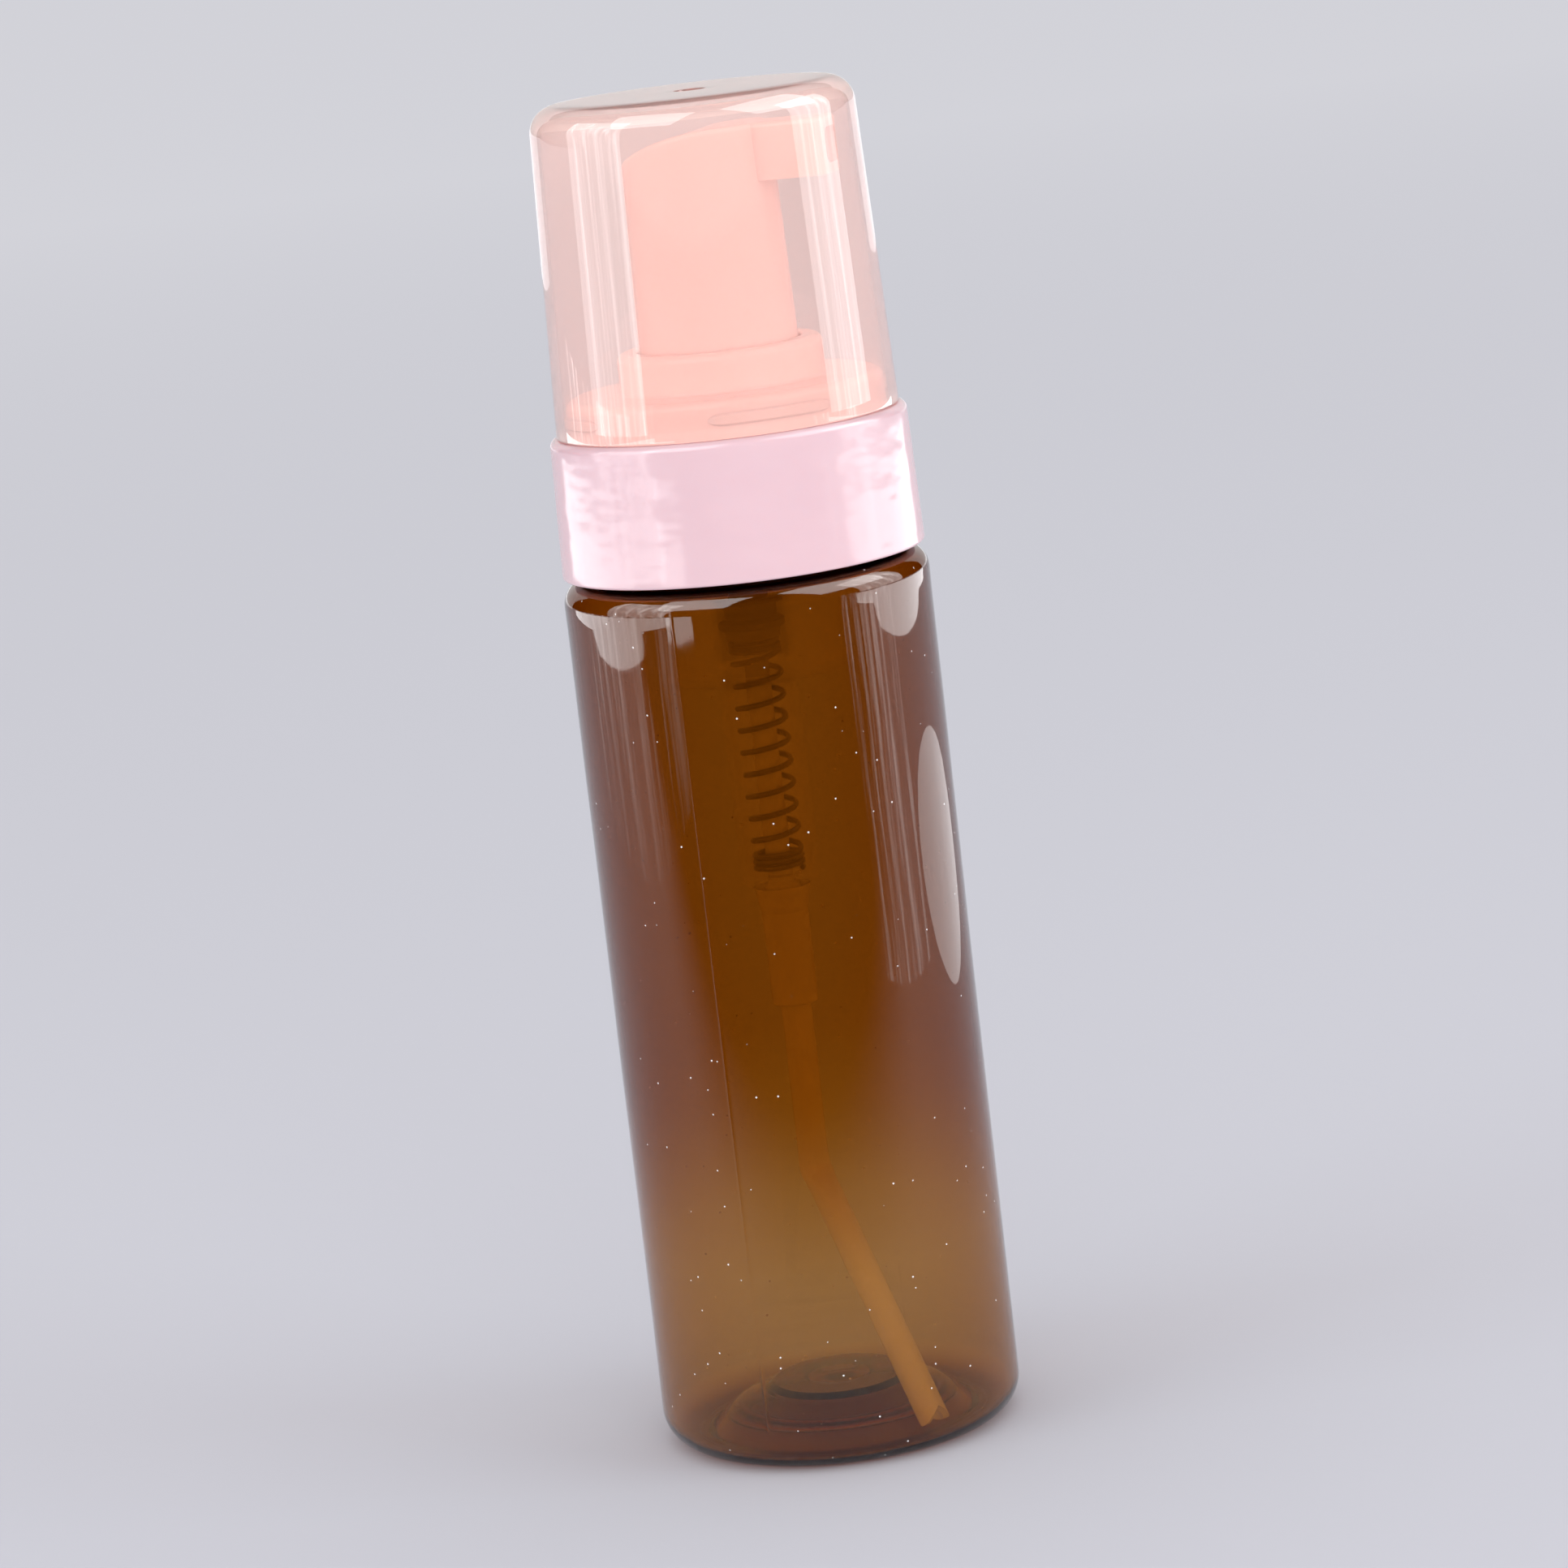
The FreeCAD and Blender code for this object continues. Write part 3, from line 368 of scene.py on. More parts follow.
# The same natural polyethylene where it is moulded solid: nearly opaque white.
cloudy_polyethylene = moulded("natural_polyethylene_moulded", paint("FBF9F2"), paint("F6F3EA"),
                              {"IOR": 1.51, "Alpha": 0.8}, 0.22, 0.32)
# White polypropylene, moulded: plain satin white.
white_polypropylene = moulded("white_polypropylene_satin", paint("F1F0EC"), paint("ECEBE7"),
                              {"IOR": 1.49}, 0.3, 0.42)
# Foamed polyethylene washer, stamped from sheet: matt white with fine cells.
foam_washer = moulded("foamed_polyethylene_stamped", paint("EFEEEA"), paint("E4E3DE"),
                      {"IOR": 1.45}, 0.7, 0.85, 0.6 * MM, 0.08 * MM)
# Silicone flap, moulded: soft matt and slightly see-through.
silicone = moulded("clear_silicone_moulded", paint("EDEDEA"), paint("E4E4E1"),
                   {"IOR": 1.41, "Alpha": 0.5}, 0.35, 0.5)
# Woven nylon screen: white thread with a faint sheen.
woven_nylon = moulded("white_nylon_woven", paint("F4F4F2"), paint("EAEAE7"), {"IOR": 1.53}, 0.4, 0.55,
                      0.8 * MM, 0.03 * MM)
# Stainless spring wire, cold drawn: grey metal with fine lengthwise die lines.
drawn_stainless = moulded("stainless_wire_drawn", paint("8F9195"), paint("7C7E83"),
                          {"Metallic": 1.0}, 0.22, 0.36, 0.5 * MM, 0.01 * MM)
# Stainless ball, ground and lapped: a near mirror.
lapped_stainless = moulded("stainless_ball_lapped", paint("B9BABD"), paint("AEB0B4"),
                           {"Metallic": 1.0}, 0.06, 0.12, 0.5 * MM, 0.002 * MM)


# ---------------------------------------------------------------- bottle

BOTTLE_RADIUS = outer_radius("bottle")
BOTTLE_WALL = 0.8 * MM
THIN_WALL = 0.48 * MM
THIN_BELOW = 26 * MM
THICK_ABOVE = 48 * MM
WOBBLE_FOOT = 5 * MM
WOBBLE_DEPTH = 0.05 * MM
PARTING_ANGLES = (math.radians(-96.8), math.radians(83.2))
PARTING_WIDTH = 0.16 * MM
PARTING_HEIGHT = 0.035 * MM
LIP_TOP = high("bottle")[2]
SHOULDER_TOP = LIP_TOP - 13.1 * MM
NECK_RADIUS = 19.6 * MM
NECK_BORE = 17.8 * MM
NECK_THREAD_START = 118.4 * MM

def blown_wobble(place):
    """Small uneven dents of a blown wall, which fade out at the heel and the shoulder."""
    radius = math.hypot(place.x, place.y)
    if radius < 20 * MM or place.z > SHOULDER_TOP or place.z < WOBBLE_FOOT:
        return place
    fade = min(1.0, (place.z - WOBBLE_FOOT) / (12 * MM), (SHOULDER_TOP - place.z) / (6 * MM))
    swell = noise.noise(Vector((place.x / (17 * MM), place.y / (17 * MM), place.z / (30 * MM))))
    swell += 0.35 * noise.noise(Vector((place.x / (7 * MM), place.y / (7 * MM), place.z / (14 * MM) + 9)))
    shrunk = 1 - WOBBLE_DEPTH * fade * (1 + swell) / radius
    return Vector((place.x * shrunk, place.y * shrunk, place.z))


def seamed_angles():
    """Even angles with three close ones at each parting line."""
    half = PARTING_WIDTH / 2 / BOTTLE_RADIUS
    extra = [line + side * half for line in PARTING_ANGLES for side in (-1, 0, 1)]
    return sorted(even_angles() + [angle % TURN for angle in extra])


def raise_parting_line(place):
    """Lift the outside of the wall where the two halves of the mould met."""
    radius = math.hypot(place.x, place.y)
    if radius < BOTTLE_RADIUS - 0.05 * MM:
        return place
    angle = math.atan2(place.y, place.x)
    nearest = min(abs(math.remainder(angle - line, TURN)) for line in PARTING_ANGLES)
    if nearest > PARTING_WIDTH / 4 / BOTTLE_RADIUS:
        return place
    grown = 1 + PARTING_HEIGHT / radius
    return Vector((place.x * grown, place.y * grown, place.z))


def make_bottle():
    """Blown shell: pushed-up base on a standing ring, straight wall, shoulder and threaded neck."""
    inside = BOTTLE_RADIUS - BOTTLE_WALL
    thin_inside = BOTTLE_RADIUS - THIN_WALL
    roof = SHOULDER_TOP - BOTTLE_WALL
    heel = 4.45 * MM
    corners = [
        (0, 5.75 * MM),
        (4.1 * MM, 5.75 * MM, 0.3 * MM),
        (4.5 * MM, 5.4 * MM, 0.3 * MM),
        (9.0 * MM, 5.1 * MM, 0.4 * MM),
        (9.4 * MM, 4.6 * MM, 0.4 * MM),
        (14.5 * MM, 2.9 * MM, 6 * MM),
        (17.7 * MM, 0, 0.7 * MM),
        (BOTTLE_RADIUS, 0, heel),
        (BOTTLE_RADIUS, SHOULDER_TOP, 3.0 * MM),
        (NECK_RADIUS, SHOULDER_TOP, 0.6 * MM),
        (NECK_RADIUS, LIP_TOP, 0.3 * MM),
        (NECK_BORE, LIP_TOP, 0.3 * MM),
        (NECK_BORE, roof, 0.8 * MM),
        (inside, roof, 2.2 * MM),
        (inside, THICK_ABOVE, 40 * MM),
        (thin_inside, THIN_BELOW, 40 * MM),
        (thin_inside, 0.9 * MM, 3.6 * MM),
        (17.2 * MM, 0.9 * MM, 1.2 * MM),
        (14.0 * MM, 4.0 * MM, 6 * MM),
        (9.4 * MM, 5.7 * MM, 0.6 * MM),
        (8.6 * MM, 6.3 * MM, 0.6 * MM),
        (0, 6.7 * MM),
    ]
    mesh = bmesh.new()
    lathe_into(mesh, divide(soften(corners), 1.6 * MM), seamed_angles())
    for vertex in mesh.verts:
        vertex.co = blown_wobble(raise_parting_line(vertex.co))
    thread_into(mesh, NECK_RADIUS, 1, NECK_THREAD_START)
    piece = finish_mesh("bottle_shell", mesh)
    return stand_in(piece, "bottle", "bottle", amber_pet)


# ---------------------------------------------------------------- screw collar

def make_collar():
    """Plain tapered skirt with a thread inside and a rim turned in at the top."""
    foot = low("screw_collar")[2]
    top = high("screw_collar")[2]
    bore = 21.35 * MM
    top_radius = 22.79 * MM
    rim_bore = 20.55 * MM
    rim_under = top - 1.5 * MM
    corners = [
        (bore, foot, 0.3 * MM),
        (outer_radius("screw_collar"), foot, 0.35 * MM),
        (top_radius, top, 1.0 * MM),
        (rim_bore, top, 0.3 * MM),
        (rim_bore, rim_under),
        (bore, rim_under),
    ]
    mesh = bmesh.new()
    lathe_into(mesh, divide(soften(corners), 1.5 * MM))
    thread_into(mesh, bore, -1, NECK_THREAD_START - THREAD_PITCH / 2)
    piece = finish_mesh("collar_shell", mesh)
    return stand_in(piece, "collar", "screw_collar", pink_polypropylene)


# ---------------------------------------------------------------- overcap

def make_overcap():
    """Thin tapered shell with a round shoulder and a gate dimple in the middle of its top."""
    foot = low("overcap")[2]
    top = high("overcap")[2]
    wall = 1.1 * MM
    foot_radius = outer_radius("overcap")
    crown_radius = 20.5 * MM
    corners = [
        (0, top - wall),
        (crown_radius - wall, top - wall, 2.4 * MM),
        (foot_radius - wall, foot, 0.25 * MM),
        (foot_radius, foot, 0.25 * MM),
        (crown_radius, top, 3.5 * MM),
        (2.1 * MM, top, 0.1 * MM),
        (1.9 * MM, top - 0.25 * MM, 0.1 * MM),
        (0, top - 0.2 * MM),
    ]
    piece = lathe("overcap_shell", corners, 1.5 * MM)
    return stand_in(piece, "cap", "overcap", clear_pink_styrene)


# ---------------------------------------------------------------- chaplet

BEAD_COUNT = 4
BEAD_SWEEP = math.radians(46)
BEAD_HEADING = math.radians(34)
BEAD_BOTTOM = 134.1 * MM
BEAD_TOP = 136.0 * MM
BEAD_PROUD = 0.32 * MM
BEAD_SUNK = 0.2 * MM
BEAD_STEPS = 24
BEAD_RUN_OUT = 10
BEAD_CREST_SHARE = 0.55


def bead_into(mesh, wall_radius, centre):
    """One snap bead: a raised bar with sloped faces that fades out at its ends."""
    root = wall_radius - BEAD_SUNK
    middle = (BEAD_BOTTOM + BEAD_TOP) / 2
    rings = []
    for step in range(BEAD_STEPS + 1):
        share = step / BEAD_STEPS
        fade = math.sqrt(min(1.0, BEAD_RUN_OUT * share, BEAD_RUN_OUT * (1 - share)))
        half = (BEAD_TOP - BEAD_BOTTOM) / 2 * (0.35 + 0.65 * fade)
        crest_half = half * BEAD_CREST_SHARE
        crest = wall_radius + BEAD_PROUD * (0.02 + 0.98 * fade)
        rings.append(ring_at(mesh, centre + BEAD_SWEEP * (share - 0.5),
                             [(root, middle - half), (crest, middle - crest_half),
                              (crest, middle + crest_half), (root, middle + half)]))
    close_tube(mesh, rings)


def make_chaplet():
    """Foot flange, deck, boss with the head's guide inside it, socket for the housing, snap beads."""
    foot = low("chaplet")[2]
    boss_top = high("chaplet")[2]
    flange_radius = outer_radius("chaplet")
    flange_top = 131.1 * MM
    radius = 20.3 * MM
    inside = 18.7 * MM
    deck = boss_top - 5.1 * MM
    under = deck - 1.5 * MM
    lip = boss_top - 1.5 * MM
    boss = 13.12 * MM
    boss_inside = 11.92 * MM
    hole = 10.45 * MM
    guide_inner = 10.7 * MM
    guide_outer = 11.3 * MM
    guide_foot = 130.3 * MM
    socket_inner = 13.5 * MM
    socket_outer = 14.5 * MM
    socket_foot = foot + 0.2 * MM
    corners = [
        (inside, foot),
        (flange_radius, foot, 0.2 * MM),
        (flange_radius, flange_top, 0.2 * MM),
        (radius, flange_top),
        (radius, deck, 1.1 * MM),
        (boss, deck, 0.45 * MM),
        (boss, boss_top, 1.15 * MM),
        (hole, boss_top, 0.4 * MM),
        (hole, lip),
        (guide_inner, lip),
        (guide_inner, guide_foot),
        (guide_outer, guide_foot),
        (guide_outer, lip),
        (boss_inside, lip),
        (boss_inside, under),
        (socket_inner, under),
        (socket_inner, socket_foot),
        (socket_outer, socket_foot),
        (socket_outer, under),
        (inside, under),
    ]
    mesh = bmesh.new()
    lathe_into(mesh, divide(soften(corners), 1.5 * MM))
    for index in range(BEAD_COUNT):
        bead_into(mesh, radius, BEAD_HEADING + TURN * index / BEAD_COUNT)
    piece = finish_mesh("chaplet_cover", mesh)
    return stand_in(piece, "pump", "chaplet", peach_polypropylene)


# ---------------------------------------------------------------- pump housing

HOUSING_SEGMENTS = 128
TAIL_TOP = 72.0 * MM


def make_housing():
    """Flange and air cylinder, liquid cylinder with its valve seat, and the cloudier tail that grips
    the dip tube."""
    top = high("pump_housing")[2]
    bottom = low("pump_housing")[2]
    upstand = 13.4 * MM
    flange = 20.6 * MM
    flange_top = 129.2 * MM
    flange_bottom = 128.0 * MM
    plug_outer = 17.6 * MM
    plug_inner = 16.6 * MM
    plug_foot = 125.5 * MM
    air_outer = 12.4 * MM
    air_bore = 11.4 * MM
    floor = 100.0 * MM
    floor_top = floor + 1.2 * MM
    liquid_outer = 5.1 * MM
    liquid_bore = 4.3 * MM
    liquid_top = 111.5 * MM
    liquid_foot = 72.3 * MM
    liquid_floor = 73.8 * MM
    valve_neck = 3.76 * MM
    valve_bore = 2.35 * MM
    seat_top = 71.0 * MM
    seat_foot = 69.85 * MM
    seat_bore = 1.2 * MM
    tail = 2.98 * MM
    tail_shoulder = 68.7 * MM
    socket = 1.98 * MM
    socket_top = 68.6 * MM
    corners = [
        (air_bore, top),
        (upstand, top, 0.3 * MM),
        (upstand, flange_top),
        (flange, flange_top, 0.2 * MM),
        (flange, flange_bottom, 0.2 * MM),
        (plug_outer, flange_bottom),
        (plug_outer, plug_foot, 0.2 * MM),
        (plug_inner, plug_foot, 0.2 * MM),
        (plug_inner, flange_bottom),
        (air_outer, flange_bottom),
        (air_outer, floor, 1.3 * MM),
        (liquid_outer, floor, 0.5 * MM),
        (liquid_outer, liquid_foot, 1.3 * MM),
        (valve_neck, liquid_foot, 0.3 * MM),
        (tail, tail_shoulder, 0.6 * MM),
        (tail, bottom, 0.3 * MM),
        (socket, bottom),
        (socket, socket_top),
        (seat_bore, socket_top),
        (seat_bore, seat_foot),
        (valve_bore, seat_top),
        (valve_bore, liquid_floor),
        (liquid_bore, liquid_floor, 0.3 * MM),
        (liquid_bore, liquid_top),
        (liquid_outer, liquid_top),
        (liquid_outer, floor_top, 0.1 * MM),
        (air_bore, floor_top, 0.1 * MM),
    ]
    piece = lathe("housing_shell", corners, 2.5 * MM, HOUSING_SEGMENTS)
    stand_in(piece, "pump", "pump_housing", natural_polypropylene)
    piece.data.materials.append(natural_polyethylene)
    for face in piece.data.polygons:
        if face.center.z < TAIL_TOP:
            face.material_index = 1
    return piece


# ---------------------------------------------------------------- dip tube

TUBE_STEPS = 120
TUBE_SIDES = 40
FOLD_LENGTH = 3.2 * MM
FOLD_FLATTENS = 0.5
FOLD_WIDENS = 0.26


def make_dip_tube():
    """Tube with one kink, pinched flat where it folds, and a notched foot."""
    top = high("dip_tube")[2]
    bend = 34.7 * MM
    reach = 18.8 * MM
    foot = 2.6 * MM
    heading = math.radians(-34)
    lean = math.atan2(reach, bend - foot)
    radius = 1.96 * MM
    bore = 1.15 * MM
    kink_radius = 3.0 * MM
    setback = kink_radius * math.tan(lean / 2)
    upper = top - bend - setback
    arc = kink_radius * lean
    lower = math.hypot(reach, bend - foot) - setback
    total = upper + arc + lower
    notch = 1.7 * MM

    def centre_line(run):
        """Place and lean of the tube's middle at a length along it from the top."""
        if run < upper:
            return Vector((0, top - run)), 0.0
        if run < upper + arc:
            angle = (run - upper) / kink_radius
            return Vector((kink_radius * (1 - math.cos(angle)),
                           bend + setback - kink_radius * math.sin(angle))), angle
        rest = run - upper - arc
        start = Vector((kink_radius * (1 - math.cos(lean)),
                        bend + setback - kink_radius * math.sin(lean)))
        return start + rest * Vector((math.sin(lean), -math.cos(lean))), lean

    def ring(share, wall_radius):
        """New vertices round the tube at a share of its length, which the notch shortens unevenly."""
        verts = []
        for side in range(TUBE_SIDES):
            around = TURN * side / TUBE_SIDES
            beside = math.sin(around)
            run = share * (total - notch * (1 - abs(beside)))
            place, angle = centre_line(run)
            fold = math.exp(-((run - upper - arc / 2) / FOLD_LENGTH) ** 2)
            inward = Vector((math.cos(angle), math.sin(angle)))
            spot = place + inward * (wall_radius * math.cos(around) * (1 - FOLD_FLATTENS * fold))
            sideways = wall_radius * beside * (1 + FOLD_WIDENS * fold)
            verts.append(mesh.verts.new((spot.x * math.cos(heading) - sideways * math.sin(heading),
                                         spot.x * math.sin(heading) + sideways * math.cos(heading),
                                         spot.y)))
        return verts

    mesh = bmesh.new()
    outside = [ring(step / TUBE_STEPS, radius) for step in range(TUBE_STEPS + 1)]
    inside = [ring(step / TUBE_STEPS, bore) for step in range(TUBE_STEPS + 1)]
    loop = outside + list(reversed(inside))
    for index, one in enumerate(loop):
        two = loop[(index + 1) % len(loop)]
        for side in range(TUBE_SIDES):
            ahead = (side + 1) % TUBE_SIDES
            mesh.faces.new((one[side], two[side], two[ahead], one[ahead]))
    piece = finish_mesh("dip_tube_kinked", mesh, 50)
    return stand_in(piece, "pump", "dip_tube", natural_polyethylene)


# ---------------------------------------------------------------- return spring

SPRING_STEPS = 40
WIRE_SIDES = 14


def make_spring():
    """Round wire wound with closed coils at both ends, at its length at rest."""
    wire = 0.375 * MM
    coil = 3.025 * MM
    bottom = 73.83 * MM
    top = 104.55 * MM
    closed = 0.8 * MM
    turns_low = 3
    turns_open = 9
    turns_high = 2
    open_pitch = (top - bottom - 2 * wire - closed * (turns_low + turns_high)) / turns_open
    rings = []
    mesh = bmesh.new()
    height = bottom + wire
    turns = turns_low + turns_open + turns_high
    for step in range(turns * SPRING_STEPS + 1):
        turn = step / SPRING_STEPS
        angle = TURN * turn
        pitch = closed if turn < turns_low or turn >= turns_low + turns_open else open_pitch
        slope = pitch / (TURN * coil)
        forward = Vector((-math.sin(angle), math.cos(angle), slope)).normalized()
        outward = Vector((math.cos(angle), math.sin(angle), 0))
        upward = outward.cross(forward)
        centre = outward * coil + height * Vector(UP)
        ring = []
        for side in range(WIRE_SIDES):
            around = TURN * side / WIRE_SIDES
            spot = centre + outward * (wire * math.cos(around)) + upward * (wire * math.sin(around))
            ring.append(mesh.verts.new(spot))
        rings.append(ring)
        height += pitch / SPRING_STEPS
    close_tube(mesh, rings)
    piece = finish_mesh("spring_coil", mesh)
    stand_in(piece, "pump", "return_spring", drawn_stainless)
    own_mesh(piece)
    return piece


make_bottle()
make_collar()
make_overcap()
make_chaplet()
make_housing()
make_dip_tube()
make_spring()


# ---------------------------------------------------------------- finishes of the kept CAD pieces

FINISHES = {
    "actuator": peach_polypropylene,
    "neck_gasket": foam_washer,
    "inlet_poppet": cloudy_polyethylene,
    "outlet_ball": lapped_stainless,
    "lower_stem": white_polypropylene,
    "liquid_piston": natural_polyethylene,
    "air_piston": natural_polyethylene,
    "air_flap": silicone,
    "upper_stem": white_polypropylene,
    "mixing_plug": white_polypropylene,
    "screen_holder": white_polypropylene,
    "coarse_screen": woven_nylon,
    "fine_screen": woven_nylon,
}
for name, material in FINISHES.items():
    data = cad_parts[name].data
    data.materials.clear()
    data.materials.append(material)


# ---------------------------------------------------------------- floor, light and camera

CAMERA_AZIMUTH = math.radians(18)
CAMERA_DISTANCE = 707.8 * MM
CAMERA_HEIGHT = 213.9 * MM
CAMERA_DIP = math.radians(10.317)
CAMERA_TURN = math.radians(0.142)
CAMERA_ROLL = math.radians(6.637)
FLOOR_HALF = 12.0
SHADE_STARTS = 0.06
SHADE_ENDS = 0.22
# How far behind the bottle the floor's painted light gradient runs, in metres; it runs a quarter as far
# in front.
PAINTED_FALLOFF_REACH = 2.5
DOME_STRENGTH = 0.88
HEAD_HEIGHT = 0.15
BAND_DARK = 0.48
BAND_LIGHT = 0.62

# Each light: azimuth from the camera in degrees, distance, height, width, tallness in metres, radiance.
SOFTBOXES = {
    "left_softbox": (-62, 1.2, 0.30, 0.8, 0.55, 3.4),
    "right_softbox": (66, 1.2, 0.32, 0.8, 0.6, 4.0),
    "front_softbox": (5, 1.2, 0.25, 0.8, 0.45, 3.4),
}
# The cards show only as reflections.
CARDS = {
    "left_window_card": (-86, 0.38, 0.06, 0.58, 0.11, 1.8),
    "right_window_card": (76, 0.27, 0.06, 0.19, 0.11, 1.6),
    "left_cap_card": (-75, 0.27, 0.23, 0.24, 0.25, 4.0),
    "right_cap_card": (90, 0.27, 0.23, 0.21, 0.25, 4.0),
    "left_front_collar_card": (-44, 0.27, 0.085, 0.08, 0.035, 3.0),
    "left_collar_card": (-92, 0.27, 0.083, 0.50, 0.036, 3.0),
    "right_collar_card": (105, 0.27, 0.083, 0.40, 0.036, 3.2),
    "right_oval_card": (117, 0.15, 0.048, 0.12, 0.040, 1.6, "ELLIPSE"),
    "left_shoulder_card": (-38, 0.45, 0.55, 0.50, 0.5, 4.0),
    "right_shoulder_card": (72, 0.45, 0.55, 0.60, 0.5, 4.0),
    "back_card": (180, 1.6, 0.50, 2.4, 1.0, 0.7),
}
# Bands across a card, brightness left at its foot, and the dimmest and brightest band.
STREAKS = {
    "left_window_card": (20, 0.1, 0.03, 1.7),
    "right_window_card": (12, 0.6, 0.03, 1.7),
    "left_cap_card": (9, 0.6, 0.7, 1.9),
    "right_cap_card": (8, 0.75, 0.8, 1.8),
}


def make_floor():
    """Pale grey background paper, pressed and matt, with painted light: its colour runs paler behind
    and darker in front, standing in for the fall of the lamps' light over the floor. Its reflection
    in the bottle fades out towards the front, as if the room past the table's edge were dark."""
    material, tree = new_material("pale_grey_paper_pressed")
    place = surface_place(tree)
    forward = (math.sin(CAMERA_AZIMUTH), -math.cos(CAMERA_AZIMUTH), 0)
    ahead = add_node(tree, "ShaderNodeVectorMath", {1: forward}, {0: place}, operation="DOT_PRODUCT")
    painted_falloff = add_node(tree, "ShaderNodeMapRange",
                      {"From Min": -PAINTED_FALLOFF_REACH, "From Max": PAINTED_FALLOFF_REACH / 4},
                      {"Value": ahead.outputs["Value"]})
    # Painted light: the paper's colour is made paler behind and darker in front, standing in for how the
    # lamps light the floor.
    colour = add_node(tree, "ShaderNodeValToRGB", links={"Fac": painted_falloff.outputs["Result"]})
    for stop, shade in zip(colour.color_ramp.elements, ("E0E0E5", "C7C7CF")):
        stop.color = paint(shade)
    normal = wavy_bump(tree, place, 3 * MM, 0.02 * MM, 3.0)
    sheet = add_node(tree, "ShaderNodeBsdfPrincipled", {"Roughness": 0.7, "Specular IOR Level": 0.0},
                     {"Base Color": colour.outputs["Color"], "Normal": normal})
    gone = add_node(tree, "ShaderNodeMapRange", {"From Min": SHADE_STARTS, "From Max": SHADE_ENDS},
                    {"Value": ahead.outputs["Value"]}, interpolation_type="SMOOTHSTEP")
    path = add_node(tree, "ShaderNodeLightPath")
    share = add_node(tree, "ShaderNodeMath", None,
                     {0: path.outputs["Is Glossy Ray"], 1: gone.outputs["Result"]},
                     operation="MULTIPLY")
    dark = add_node(tree, "ShaderNodeBsdfDiffuse", {"Color": (0, 0, 0, 1)})
    mixed = add_node(tree, "ShaderNodeMixShader", None,
                     {0: share.outputs["Value"], 1: sheet.outputs["BSDF"], 2: dark.outputs["BSDF"]})
    add_node(tree, "ShaderNodeOutputMaterial", links={"Surface": mixed.outputs["Shader"]})
    mesh = bmesh.new()
    bmesh.ops.create_grid(mesh, x_segments=8, y_segments=8, size=FLOOR_HALF)
    floor = finish_mesh("floor", mesh)
    floor.data.materials.append(material)


def add_streaks(lamp, count, foot_level, dimmest, brightest):
    """Break a card's brightness into uneven upright bands that fade towards its foot."""
    lamp.use_nodes = True
    tree = lamp.node_tree
    tree.nodes.clear()
    place = add_node(tree, "ShaderNodeNewGeometry").outputs["Parametric"]
    spread = add_node(tree, "ShaderNodeMapping", {"Scale": (count, 1.3, 1)}, {"Vector": place})
    bands = add_node(tree, "ShaderNodeTexNoise", {"Scale": 1.0, "Detail": 4.0, "Roughness": 0.65},
                     {"Vector": spread.outputs["Vector"]})
    level = add_node(tree, "ShaderNodeMapRange",
                     {"From Min": BAND_DARK, "From Max": BAND_LIGHT, "To Min": dimmest,
                      "To Max": brightest},
                     {"Value": bands.outputs["Fac"]})
    upright = add_node(tree, "ShaderNodeSeparateXYZ", links={"Vector": place})
    fade = add_node(tree, "ShaderNodeMapRange", {"To Min": foot_level, "To Max": 1.0},
                    {"Value": upright.outputs["Y"]})
    both = add_node(tree, "ShaderNodeMath", None,
                    {0: level.outputs["Result"], 1: fade.outputs["Result"]}, operation="MULTIPLY")
    glow = add_node(tree, "ShaderNodeEmission", None, {"Strength": both.outputs["Value"]})
    add_node(tree, "ShaderNodeOutputLight", links={"Surface": glow.outputs["Emission"]})


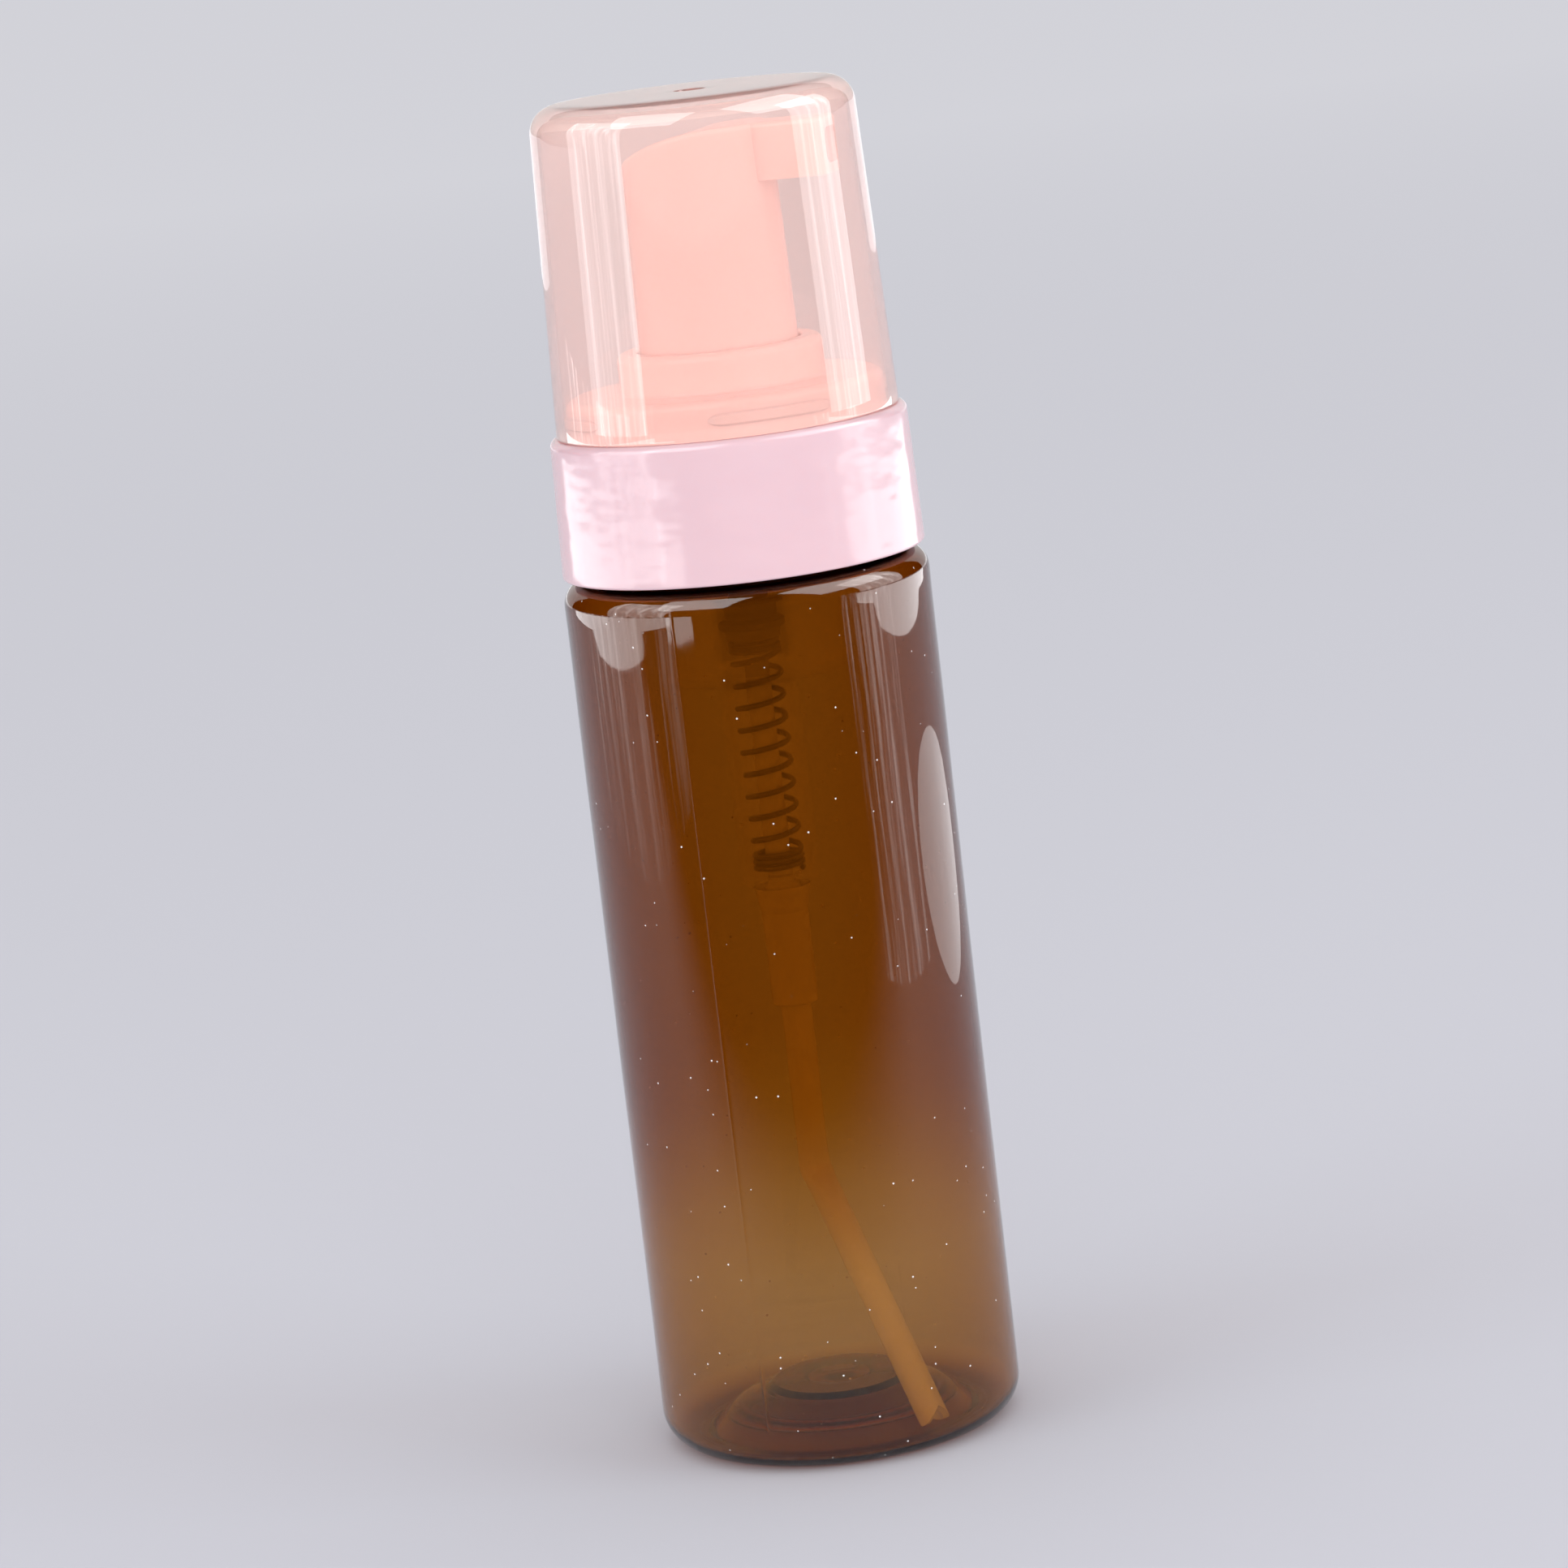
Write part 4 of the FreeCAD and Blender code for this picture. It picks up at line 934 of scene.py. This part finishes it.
def add_light(name, azimuth_degrees, distance, height, width, tall, radiance, shape="RECTANGLE"):
    """Area light at an azimuth measured from the camera, facing the bottle's axis. The camera and
    rays through the plastics don't see it."""
    lamp = bpy.data.lights.new(name, "AREA")
    lamp.shape = shape
    lamp.size = width
    lamp.size_y = tall
    area = width * tall * (math.pi / 4 if shape == "ELLIPSE" else 1)
    lamp.energy = radiance * math.pi * area
    light = bpy.data.objects.new(name, lamp)
    angle = CAMERA_AZIMUTH + math.radians(azimuth_degrees)
    light.location = (distance * math.sin(angle), -distance * math.cos(angle), height)
    facing = Vector((0, 0, min(height, HEAD_HEIGHT))) - light.location
    light.rotation_euler = facing.to_track_quat("-Z", "Y").to_euler()
    light.visible_camera = False
    light.visible_transmission = False
    bpy.context.scene.collection.objects.link(light)
    return light


def make_light():
    """An even dome, softboxes that leave no reflection, and cards that show only as reflections."""
    world = bpy.data.worlds.new("studio")
    world.use_nodes = True
    world.node_tree.nodes.clear()
    dome = add_node(world.node_tree, "ShaderNodeBackground",
                    {"Color": paint("FDFDFF"), "Strength": DOME_STRENGTH})
    add_node(world.node_tree, "ShaderNodeOutputWorld", links={"Surface": dome.outputs["Background"]})
    world.cycles_visibility.glossy = False
    bpy.context.scene.world = world
    for name, sizes in SOFTBOXES.items():
        add_light(name, *sizes).visible_glossy = False
    for name, sizes in CARDS.items():
        card = add_light(name, *sizes)
        card.visible_diffuse = False
        if name in STREAKS:
            add_streaks(card.data, *STREAKS[name])


def make_camera():
    """Long lens a little above the cap, rolled so that the bottle leans in the view."""
    data = bpy.data.cameras.new("camera")
    data.sensor_width = 36.0
    data.lens = 128.45
    data.clip_start = 0.01
    camera = bpy.data.objects.new("camera", data)
    place = (CAMERA_DISTANCE * math.sin(CAMERA_AZIMUTH), -CAMERA_DISTANCE * math.cos(CAMERA_AZIMUTH),
             CAMERA_HEIGHT)
    camera.matrix_world = (Matrix.Translation(place)
                           @ Matrix.Rotation(CAMERA_AZIMUTH - CAMERA_TURN, 4, "Z")
                           @ Matrix.Rotation(math.radians(90) - CAMERA_DIP, 4, "X")
                           @ Matrix.Rotation(-CAMERA_ROLL, 4, "Z"))
    bpy.context.scene.collection.objects.link(camera)
    bpy.context.scene.camera = camera


make_floor()
make_light()
make_camera()
bpy.context.scene.view_settings.view_transform = "Standard"
